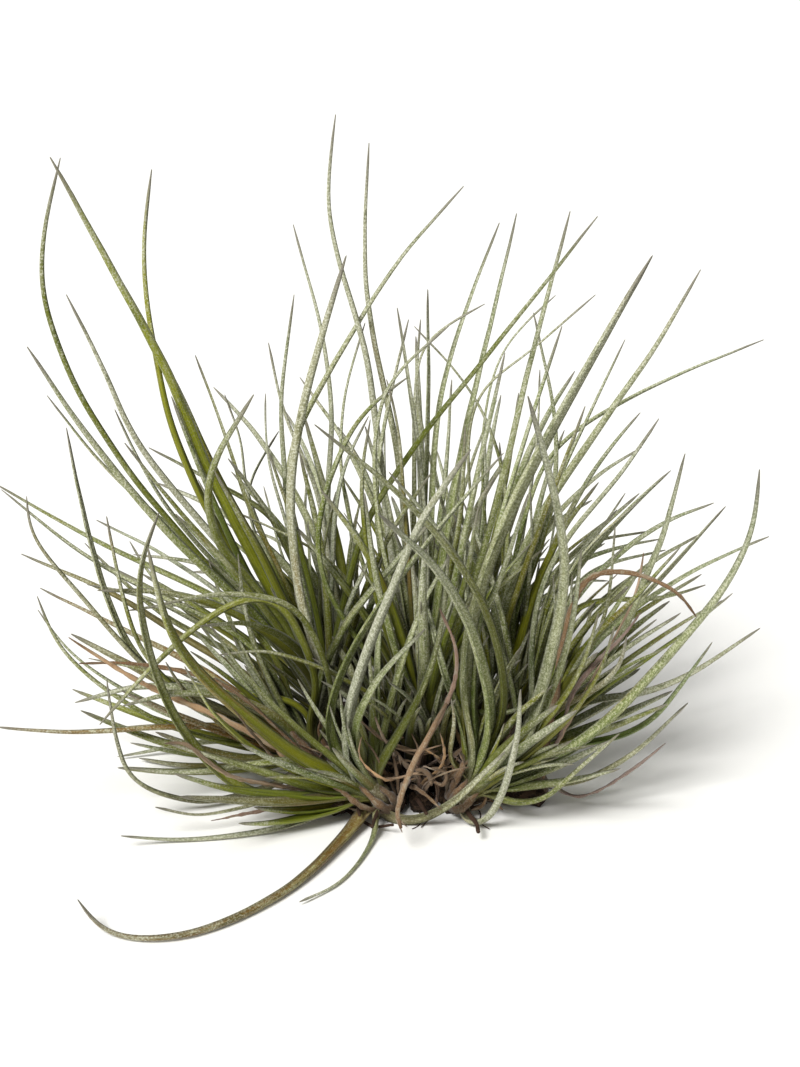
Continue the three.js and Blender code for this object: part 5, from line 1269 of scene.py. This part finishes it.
def blade_skins(leaves, rings, blades, tones, draws, twist, crumple=0.0):
    """Closed channelled skins of leaves, with the colour, place and state at each of their points."""
    lines, along = leaf_lines(leaves, rings)
    s, half, depth, cup, wall = blade_forms(along, leaves, blades)
    if crumple:
        pitch = 3 + 4 * draws.random((len(leaves), 2, 1))
        folds = np.sin(along[:, None] / pitch * ROUND + draws.random((len(leaves), 2, 1)) * 6)
        half = half * (1 + crumple * folds[:, 0]) * (1 - 0.36 * np.exp(-((along / 26) ** 2)))
        depth = depth * (0.62 + crumple * folds[:, 1])
        cup = cup * (0.86 + 0.22 * folds[:, 0] * crumple)
    first = unit(np.array([np.cross(leaf["axis"], leaf["out"]) for leaf in leaves]))
    turn = (draws.random((len(leaves), 1)) * 2 - 1) * twist * s**0.9
    turn = turn + 0.25 * twist * np.sin(s * 7 + draws.random((len(leaves), 1)) * 6) * s
    side, upper = section_frames(lines, first, turn)
    lines = wavered(lines, side, upper, along, blades.wave / MM * (1 + 2 * crumple), draws)
    x, y, across, inside = channel_section(half, depth, cup, wall)
    rings_at = rings_of(lines, side, upper, x, y)
    sunk = np.maximum(0, 0.05 - rings_at[..., 2].min(-1))
    rings_at[..., 2] += sunk[..., None]
    lines[..., 2] += sunk
    ends = end_points(lines, half, 0.3, 2.4, 0.03)
    colours = np.array([tones[leaf["tone"]][0] for leaf in leaves])
    cover = np.array([tones[leaf["tone"]][1] for leaf in leaves])
    vary = draws.normal(0, 1, (len(leaves), 3))
    colours = np.clip(colours * (1 + vary[:, :1] * 0.12) * (1 + vary[:, 1:2] * [0.07, 0.0, -0.12]), 0, 1)
    cover = np.clip(cover + vary[:, 2] * 0.1, 0, 1)[:, None, None]
    offset = draws.random(len(leaves))[:, None, None] * 90
    place = (along[..., None], half[..., None] * across * 1.4 + 8 * inside, offset)
    values = skin_values(colours, place, (s[..., None], cover, np.abs(across) + 2.0 * inside), KEEL)
    return skin(rings_at - CROWN_CENTRE, ends - CROWN_CENTRE), values


def end_points(lines, widths, before, after, low):
    """A point before each line and one after it, so many times its width there away from it, and none too low."""
    tangents = unit(np.gradient(lines, axis=1))
    first = lines[:, 0] - tangents[:, 0] * widths[:, :1] * before
    last = lines[:, -1] + tangents[:, -1] * widths[:, -1:] * after
    ends = np.stack([first, last], 1)
    ends[..., 2] = np.maximum(ends[..., 2], low)
    return ends


def skin_values(colours, place, state, end_side):
    """Colour, place (along, across and offset in millimetres) and state (share, cover, side) at skin points.

    Place and state are fields that spread over skins, rings and sides. The points at the ends of a skin take
    the values of its first and last ring on one side.
    """
    shape = np.broadcast_shapes(*(np.shape(field) for field in (*place, *state)))

    def with_ends(fields):
        values = np.stack([np.broadcast_to(field, shape) for field in fields], -1)
        ends = np.stack([values[:, 0, end_side], values[:, -1, end_side]], 1)
        return np.concatenate([values.reshape(len(values), -1, 3), ends], 1).reshape(-1, 3)

    own = np.repeat(np.column_stack([colours, np.ones(len(colours))]), shape[1] * shape[2] + 2, axis=0)
    return dict(blade_colour=own, blade_place=with_ends(place), blade_state=with_ends(state))


def plain_values(count, sides, along, girth, offset=0.0):
    """The same values for round skins: place goes along and round them."""
    around = np.arange(sides) / sides * girth
    s = (along / along[:, -1:])[..., None]
    return skin_values(np.tile(BARE, (count, 1)), (along[..., None], around, offset), (s, 0.5, 0.0), 0)


def uneven(points, pitch, seed):
    """Smooth unevenness at points, about -1 to 1: the mean of sines along eight crossed directions."""
    draws = np.random.default_rng(seed)
    ways = unit(draws.normal(size=(8, 3))) * (0.6 + 0.9 * draws.random((8, 1))) * ROUND / pitch
    return np.sin(points @ ways.T + draws.random(8) * ROUND).mean(-1) * 2


def stems(lines, radii, sides, rough, pitch, seed, low=0.0):
    """Closed round skins about lines, their radii made uneven, flat where they meet the surface."""
    tangents = unit(np.gradient(lines, axis=1))
    first = unit(np.cross(tangents[:, 0], [0.31, 0.2, 0.93]))
    side, upper = section_frames(lines, first, np.zeros(lines.shape[:2]))
    rings = rings_of(lines, side, upper, *round_section(radii, sides))
    spokes = rings - lines[:, :, None]
    rings = lines[:, :, None] + spokes * (1 + rough * uneven(rings, pitch, seed)[..., None])
    rings[..., 2] = np.maximum(rings[..., 2], low)
    ends = end_points(lines, radii, 0.5, 0.5, low)
    values = plain_values(len(lines), sides, lengths_of(lines), radii.mean() * 6, seed * 7.0)
    return skin(rings - CROWN_CENTRE, ends - CROWN_CENTRE), values


def knot_of_crown():
    """The middle of the crown: half an ellipsoid, flat below, its surface pushed out and in unevenly."""
    length, sides = 26, 48
    height = CROWN_HUB[2] + 7.9 * np.linspace(0, 1, length) ** 0.8
    heights = np.concatenate([[0.0, 0.0, 2.4], height])
    swell = np.sqrt(np.clip(1 - ((heights - CROWN_HUB[2]) / 8.0) ** 2, 0, 1))
    swell[0] = swell[0] * 0.5
    angle = np.arange(sides) * ROUND / sides
    x = CROWN_HUB[0] + 13.8 * swell[:, None] * np.cos(angle)
    y = CROWN_HUB[1] + 15.0 * swell[:, None] * np.sin(angle)
    rings = np.stack([x, y, np.broadcast_to(heights[:, None], x.shape)], -1)
    middle = np.array([*CROWN_HUB[:2], 4.0])
    push = 1 + 0.1 * uneven(rings, 9, 3) + 0.05 * uneven(rings, 3.6, 4)
    rings[2:] = middle + (rings[2:] - middle) * push[2:, :, None]
    rings[..., 2] = np.maximum(rings[..., 2], 0)
    ends = np.array([[[*CROWN_HUB[:2], 0.0], [*CROWN_HUB[:2], 13.2]]])
    return skin(rings[None] - CROWN_CENTRE, ends - CROWN_CENTRE), plain_values(1, sides, heights[None] + 1, 60)


def stem_lines():
    """Creeping stems from the middle of the crown to each bulb and dry sheath, bowed to one side in turn."""
    lines = []
    for i, home in enumerate([*ROSETTES.values(), *DRY.values()]):
        end = stem_end(home["foot"])
        across = unit((end - CROWN_HUB) * [1, 1, 0])
        bow = np.array([-across[1], across[0], 0]) * (1.4 if i % 2 else -1.4)
        middle = CROWN_HUB + (end - CROWN_HUB) * 0.55 + bow
        lines.append(smooth_line(np.array([CROWN_HUB, middle, end]), 22))
    return np.array(lines)


def root_start(readings):
    """A root grows out of the nearest point of a stem of the crown."""
    base = on_sight_lines(np.array([readings[-2:]], float), np.array([10.0]), np.array([1.2]))[0]
    feet = np.array([rosette["foot"] for rosette in ROSETTES.values()], float)
    feet[:, 2] = 3
    shares = np.arange(0.4, 0.95, 0.1)[:, None, None]
    points = (CROWN_HUB + (feet - CROWN_HUB) * shares).reshape(-1, 3)
    best = points[np.argmin(np.linalg.norm(points - base, axis=1))].copy()
    best[2] = 2.4
    return best


def read_roots():
    """The thicker roots whose routes were read: smooth lines with radii that fall by a third to their ends."""
    lines, radii = [], []
    for _, thickness, depth, readings in ROOTS:
        start = root_start(readings)
        lines.append(smooth_line(np.vstack([start, route_points(start, thickness, depth, readings)]), 34))
        radii.append(thickness / 2 * (1 - 0.35 * np.linspace(0, 1, 35)))
    return np.array(lines), np.array(radii)


def wandering_roots(count, draws):
    """Fine roots by rule: out from under the crown, wandering by sines, down onto the surface and along it."""
    s = np.linspace(0, 1, 28)
    lines, radii = [], []
    for _ in range(count):
        angle = draws.random() * ROUND
        reach = 9 + 7 * draws.random()
        start = CROWN_HUB + np.array([math.cos(angle) * reach, math.sin(angle) * reach, draws.random() * 4 - 1])
        long = 10 + 22 * draws.random() ** 1.5
        heading = angle + draws.normal() * 0.6
        turn = heading + (draws.normal() * 0.9) * s + 0.5 * np.sin(s * 9 + draws.random() * 6)
        step = np.stack([np.cos(turn), np.sin(turn), np.zeros(28)], -1) * long / 27
        line = start + np.cumsum(step, axis=0)
        radius = (0.24 + 0.22 * draws.random()) * (1 - 0.5 * s)
        fall = start[2] * (1 - np.clip(s * long / 9, 0, 1)) ** 1.6
        line[:, 2] = np.maximum(fall, radius * 1.3) + 0.25 * (1 + np.sin(s * 11 + draws.random() * 6)) * s
        lines.append(line)
        radii.append(radius)
    return np.array(lines), np.array(radii)


def read_fibres():
    """The tan fibres in front of the crown, whose routes were read: smooth lines, thinner at both ends."""
    lines, radii = [], []
    for _, thickness, near, far, readings in FIBRES:
        points = np.array(readings, float).reshape(-1, 2)
        lines.append(smooth_line(on_sight_lines(points, np.linspace(near, far, len(points)), 0.7), 29))
        radii.append(thickness / 2 * (1 - 0.45 * np.linspace(-1, 1, 30) ** 2))
    return np.array(lines), np.array(radii)


def bulb_core(rosette):
    """Solid heart under the sheaths of a rosette: a turned ovoid on the axis of its bulb."""
    foot, axis = seat(rosette)
    s = np.linspace(0.02, 0.98, 14)
    line = foot + axis * (BULB_HEIGHT * 0.86 * s)[:, None]
    radius = BULB_RADIUS * 0.74 * np.interp(s, [0, 0.12, 0.4, 0.7, 1], [0.3, 0.74, 1, 0.7, 0.12])
    return line[None], radius[None]


def dry_sheath(bunch):
    """The sheath that holds a bunch of dry leaves: a turned spindle from its foot to its top."""
    foot, top = bunch_ends(bunch)
    s = np.linspace(0.04, 0.94, 12)
    radius = bunch["girth"] * 0.72 * np.interp(s, [0, 0.2, 0.55, 1], [0.4, 0.8, 1, 0.45])
    return (foot + (top - foot) * s[:, None])[None], radius[None]


def golden_rounds(rosette, count, draws, loose):
    """Directions out from a rosette's axis, one for each golden angle, each off by a draw times the loose angle."""
    foot, axis = seat(rosette)
    first = unit(np.cross(axis, [0.3, 0.9, 0.1]))
    second = np.cross(axis, first)
    for i in range(count):
        angle = i * GOLDEN_ANGLE + draws.random() * loose
        yield i, foot, axis, first * math.cos(angle) + second * math.sin(angle)


def drawn(tones, draws):
    return tones[int(draws.random() * len(tones))]


def young_leaves(rosette, count, draws, size=1.0):
    """Young leaves in the heart of a rosette: short and steep, bent out a little further the longer they are."""
    made = []
    t = np.linspace(0, 1, 6)[:, None]
    for i, foot, axis, out in golden_rounds(rosette, count, draws, 0.7):
        share = (i + 0.5) / count
        long = (26 + 42 * share + 10 * draws.random()) * size
        lean, bow = 0.06 + 0.16 * share * draws.random(), 0.06 + 0.2 * share
        start = foot + axis * BULB_HEIGHT * 0.5 * size + out * 0.8
        line = start + axis * long * (t - 0.12 * t**2) + out * long * (lean * t + bow * t**2)
        line = line + np.cross(axis, out) * long * 0.06 * draws.normal() * t**2
        low = foot + axis * 4 * size + out * 0.6
        tone = drawn(YOUNG_TONES, draws)
        made.append(dict(tone=tone, width=1.5 + 1.1 * draws.random(), line=line, foot=low, out=out, axis=axis))
    return made


def old_sheaths(count, draws):
    """Torn brown sheaths of lost leaves about the foot of each rosette.

    Each goes up along the axis, out by half a sine to clasp the bulb, by its lean, and by its curl's cube.
    """
    made = []
    t = np.linspace(0, 1, 6)[:, None]
    for rosette in ROSETTES.values():
        for _, foot, axis, out in golden_rounds(rosette, count, draws, 0.9):
            long = 8 + 15 * draws.random() ** 1.4
            start = foot + axis * (0.6 + 2.4 * draws.random()) + out * 3.1
            start[2] = max(start[2], 0.9)
            curl = draws.normal() * 0.22
            lean = 0.12 + 0.2 * draws.random()
            away = 1.7 * np.sin(math.pi * np.minimum(t * 1.25, 1)) + long * (lean * t + curl * t**3)
            line = start + axis * long * (t - 0.5 * max(curl, 0) * t**3) + out * away
            line[:, 2] = np.maximum(line[:, 2], 0.8)
            low = start - axis * 1.2 - out * 0.8
            tone = drawn(SHEATH_TONES, draws)
            made.append(dict(tone=tone, width=2.6 + 2.2 * draws.random(), line=line, foot=low, out=out, axis=axis))
    return made


def small_offsets(count, draws):
    """Offsets between the rosettes: tufts of young leaves all over the crown, one for each golden angle."""
    made = []
    for i in range(count):
        angle = i * GOLDEN_ANGLE + draws.random() * 0.6
        reach = 5 + 17 * ((i + 0.5) / count) ** 0.5 * (0.35 if math.sin(angle) < -0.15 else 1)
        out = np.array([math.cos(angle), math.sin(angle) * 1.15, 0.0])
        foot = CROWN_HUB + out * reach + [0, 0, 4 - reach * 0.16]
        lean = out * (0.15 + reach * 0.02) + [0, 0, 1] + draws.normal(0, 0.1, 3)
        made += young_leaves(dict(foot=foot, lean=lean), 9, draws, 0.62)
    return made


def dead_curls(count, draws):
    """Small dead leaves about the crown: out of it at any angle, then curling over and drooping to the side."""
    made = []
    t = np.linspace(0, 1, 8)[:, None]
    up = np.array([0.0, 0.0, 1.0])
    for _ in range(count):
        angle = draws.random() * ROUND
        out = np.array([math.cos(angle), math.sin(angle), 0.0])
        reach = 8 + 15 * draws.random()
        start = CROWN_HUB + out * [reach * 1.1, reach * 1.25, 0] + up * (2 + 5 * draws.random() - reach * 0.12)
        long = 9 + 19 * draws.random() ** 1.6
        rise = 0.25 + 0.75 * draws.random()
        way = unit(out * (0.3 + draws.random()) + up * rise + draws.normal(0, 0.45, 3))
        over = unit(np.cross(way, draws.normal(0, 1, 3)))
        bend = 0.5 + 1.1 * draws.random()
        line = start + way * long * np.sin(t * bend) / bend + over * long * (1 - np.cos(t * bend)) / bend
        line[:, 2] = np.maximum(line[:, 2], 0.5)
        tone = drawn(CURL_TONES, draws)
        width = 0.8 + 1.9 * draws.random() ** 1.6
        made.append(dict(tone=tone, width=width, line=line, foot=start - way * 1.5, out=over, axis=way))
    return made


def leaf_tones(tints, dead):
    """Colour and scale cover of each tone of leaf."""
    return {
        "silver": (tints.silver, 0.58),
        "pale": (tints.pale, 0.76),
        "olive": (tints.olive, 0.32),
        "green": (tints.green, 0.2),
        "vivid": (tints.vivid, 0.03),
        "tan": (dead.tan, 0.3),
        "brown": (tints.tired, 0.2),
        "mauve": (tints.greyed, 0.42),
        "bronze": (tints.bronze, 0.36),
    }


def dead_tones(tints, dead):
    """The same for dead leaves."""
    return leaf_tones(tints, dead) | {"brown": (dead.brown, 0.2), "mauve": (dead.mauve, 0.45)}


plant = {}  # what is made once and then used again: the grown leaves and the materials, by name


def grown(node):
    """Copies of a node's leaves, out of the whole plant's, which are grown and moved clear of each other once."""
    if "leaves" not in plant:
        plant["leaves"] = clasping_feet(spread_leaves(grow_leaves(), obstacles()))
    return [dict(leaf) for leaf in plant["leaves"] if leaf["node"] == node]


def look(name, maker, *inputs):
    """The material of that name, made at its first use."""
    if name not in plant:
        plant[name] = maker(name, *inputs)
    return plant[name]


def settings_of(scene):
    return scene.airplant_blades, scene.airplant_tints, scene.airplant_dead


class AIRPLANT_OT_rosettes(bpy.types.Operator):
    """Makes the leaves of each rosette as fine channelled blades, with its young inner leaves and its heart"""

    bl_idname = "airplant.rosettes"
    bl_label = "Rosettes"

    def execute(self, context):
        blades, tints, dead = settings_of(context.scene)
        tones = leaf_tones(tints, dead)
        material = look("leaf_with_silver_scales", scaled_leaf, tints)
        for number, (node, rosette) in enumerate(ROSETTES.items()):
            draws = np.random.default_rng(ROSETTE_SEED + number)
            own = grown(node)
            for place, tone in TURNED.get(node, {}).items():
                own[place]["tone"] = tone
            parts = [blade_skins(own, blades.rings, blades, tones, draws, blades.twist)]
            if blades.inner:
                inner = young_leaves(rosette, blades.inner, draws, 0.6 if rosette["foot"][1] < 0 else 1.0)
                parts.append(blade_skins(inner, blades.rings // 2, blades, tones, draws, blades.twist / 2))
            parts.append(stems(*bulb_core(rosette), 16, 0.05, 4, number + 1))
            made = piece(node + "_leaves", parts, material)
            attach(made, BODY)
            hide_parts(node)
        return {"FINISHED"}


class AIRPLANT_OT_dry_leaves(bpy.types.Operator):
    """Makes the dead leaves of each bunch, thin, twisted and wrinkled, with the dry sheath they grow from"""

    bl_idname = "airplant.dry_leaves"
    bl_label = "Dry leaves"

    def execute(self, context):
        blades, tints, dead = settings_of(context.scene)
        tones = dead_tones(tints, dead)
        material = look("dead_leaf", dead_leaf, dead, tints)
        for number, (node, bunch) in enumerate(DRY.items()):
            draws = np.random.default_rng(DRY_SEED + number)
            leaves = blade_skins(grown(node), blades.rings, blades, tones, draws, 2.2, 0.2)
            sheath = stems(*dry_sheath(bunch), 14, 0.18, 3, 40 + number)
            made = piece(node + "_blades", [leaves, sheath], material)
            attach(made, BODY)
            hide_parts(node)
        return {"FINISHED"}


class AIRPLANT_OT_litter(bpy.types.Operator):
    """Makes the torn old sheaths about each rosette, the small dead curls and fibres, and the small offsets"""

    bl_idname = "airplant.litter"
    bl_label = "Old sheaths, curls and offsets"

    def execute(self, context):
        blades, tints, dead = settings_of(context.scene)
        tones = dead_tones(tints, dead)
        withered = look("dead_leaf", dead_leaf, dead, tints)
        fresh = look("leaf_with_silver_scales", scaled_leaf, tints)
        draws = np.random.default_rng(LITTER_SEED)
        sheaths = blade_skins(old_sheaths(dead.sheaths, draws), 20, blades, tones, draws, 0.5, 0.16)
        curls = blade_skins(dead_curls(dead.curls, draws), 24, blades, tones, draws, 2.6, 0.22)
        fibres = stems(*read_fibres(), 7, 0.2, 2.4, 8, 0.03)
        colours = fibres[1]["blade_colour"]
        pale = np.linspace(1.0, 0.0, len(colours))[:, None] ** 0.5
        colours[:, :3] = pale * tones["tan"][0] + (1 - pale) * tones["brown"][0]
        offsets = blade_skins(small_offsets(dead.offsets, draws), 22, blades, tones, draws, 0.6)
        for name, part, material, slot in (
            ("old_sheaths", sheaths, withered, "dry_brown"),
            ("dead_curls", curls, withered, "dry_tan"),
            ("tan_fibres", fibres, withered, "dry_tan"),
            ("small_offsets", offsets, fresh, "leaf_green"),
        ):
            made = piece(name, [part], material)
            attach(made, BODY)
        return {"FINISHED"}


class AIRPLANT_OT_crown(bpy.types.Operator):
    """Makes the woody crown with its creeping stems and the roots that grow from it"""

    bl_idname = "airplant.crown"
    bl_label = "Crown and roots"

    def execute(self, context):
        dead = context.scene.airplant_dead
        lines = stem_lines()
        radii = STEM_RADIUS * np.interp(np.linspace(0, 1, lines.shape[1]), [0, 0.55, 1], [1, 0.82, 0.95])
        creeping = stems(lines, np.tile(radii, (len(lines), 1)), 18, 0.16, 4.4, 5)
        thick = stems(*read_roots(), 9, 0.14, 2.2, 6, 0.03)
        draws = np.random.default_rng(ROOT_SEED)
        fine = stems(*wandering_roots(dead.wires, draws), 6, 0.1, 2.0, 7, 0.02)
        for made in (
            piece("woody_crown", [knot_of_crown(), creeping], look("bark_of_crown", crown_bark, dead)),
            piece("wiry_roots", [thick, fine], look("wiry_root", wiry_root, dead)),
        ):
            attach(made, BODY)
            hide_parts("crown_with_roots")
        return {"FINISHED"}


class AIRPLANT_OT_stage(bpy.types.Operator):
    """Makes the pale floor, the soft light and the camera"""

    bl_idname = "airplant.stage"
    bl_label = "Stage"

    def execute(self, context):
        scene = context.scene
        settings = scene.airplant_stage
        reach = settings.reach
        corners = [(-reach, -reach, 0), (reach, -reach, 0), (reach, reach, 0), (-reach, reach, 0)]
        mesh = bpy.data.meshes.new("floor")
        mesh.from_pydata(corners, [], [(0, 1, 2, 3)])
        mesh.materials.append(pale_floor("pale_floor", tuple(settings.floor)))
        floor = bpy.data.objects.new("floor", mesh)

        window = bpy.data.lights.new("window", "SUN")
        window.energy = settings.sun
        window.angle = WINDOW_WIDTH
        lamp = bpy.data.objects.new("window", window)
        lamp.rotation_euler = WINDOW_TURN

        world = bpy.data.worlds.new("room")
        world.use_nodes = True
        room = world.node_tree.nodes["Background"]
        room.inputs["Color"].default_value = (1, 1, 1, 1)
        room.inputs["Strength"].default_value = settings.sky
        scene.world = world

        lens = bpy.data.cameras.new("eye")
        lens.sensor_width = FILM
        lens.lens = settings.lens
        lens.clip_start, lens.clip_end = CLIP
        camera = bpy.data.objects.new("eye", lens)
        camera.location = (EYE - CROWN_CENTRE) * MM
        camera.rotation_euler = (math.pi / 2 - ELEVATION, 0, 0)
        for made in (floor, lamp, camera):
            scene.collection.objects.link(made)
        scene.camera = camera
        scene.view_settings.view_transform = "Standard"
        return {"FINISHED"}


MAKERS = (
    AIRPLANT_OT_rosettes,
    AIRPLANT_OT_dry_leaves,
    AIRPLANT_OT_litter,
    AIRPLANT_OT_crown,
    AIRPLANT_OT_stage,
)


class AIRPLANT_PT_sidebar(bpy.types.Panel):
    """Settings and makers of the air plant"""

    bl_label = "Air plant"
    bl_idname = "AIRPLANT_PT_sidebar"
    bl_space_type = "VIEW_3D"
    bl_region_type = "UI"
    bl_category = "Air plant"

    def draw(self, context):
        layout = self.layout
        for group in GROUPS:
            box = layout.box()
            box.label(text=group.__doc__)
            for name in group.__annotations__:
                box.prop(getattr(context.scene, GROUPS[group]), name)
        for maker in MAKERS:
            layout.operator(maker.bl_idname)


GROUPS = {
    AirPlantBlades: "airplant_blades",
    AirPlantTints: "airplant_tints",
    AirPlantDead: "airplant_dead",
    AirPlantStage: "airplant_stage",
}


def register():
    for group, name in GROUPS.items():
        bpy.utils.register_class(group)
        setattr(bpy.types.Scene, name, bpy.props.PointerProperty(type=group))
    for maker in (*MAKERS, AIRPLANT_PT_sidebar):
        bpy.utils.register_class(maker)


def unregister():
    for maker in (AIRPLANT_PT_sidebar, *reversed(MAKERS)):
        bpy.utils.unregister_class(maker)
    for group, name in GROUPS.items():
        delattr(bpy.types.Scene, name)
        bpy.utils.unregister_class(group)


def main():
    register()
    for maker in MAKERS:
        group, name = maker.bl_idname.split(".")
        getattr(getattr(bpy.ops, group), name)()


if __name__ == "__main__":
    main()
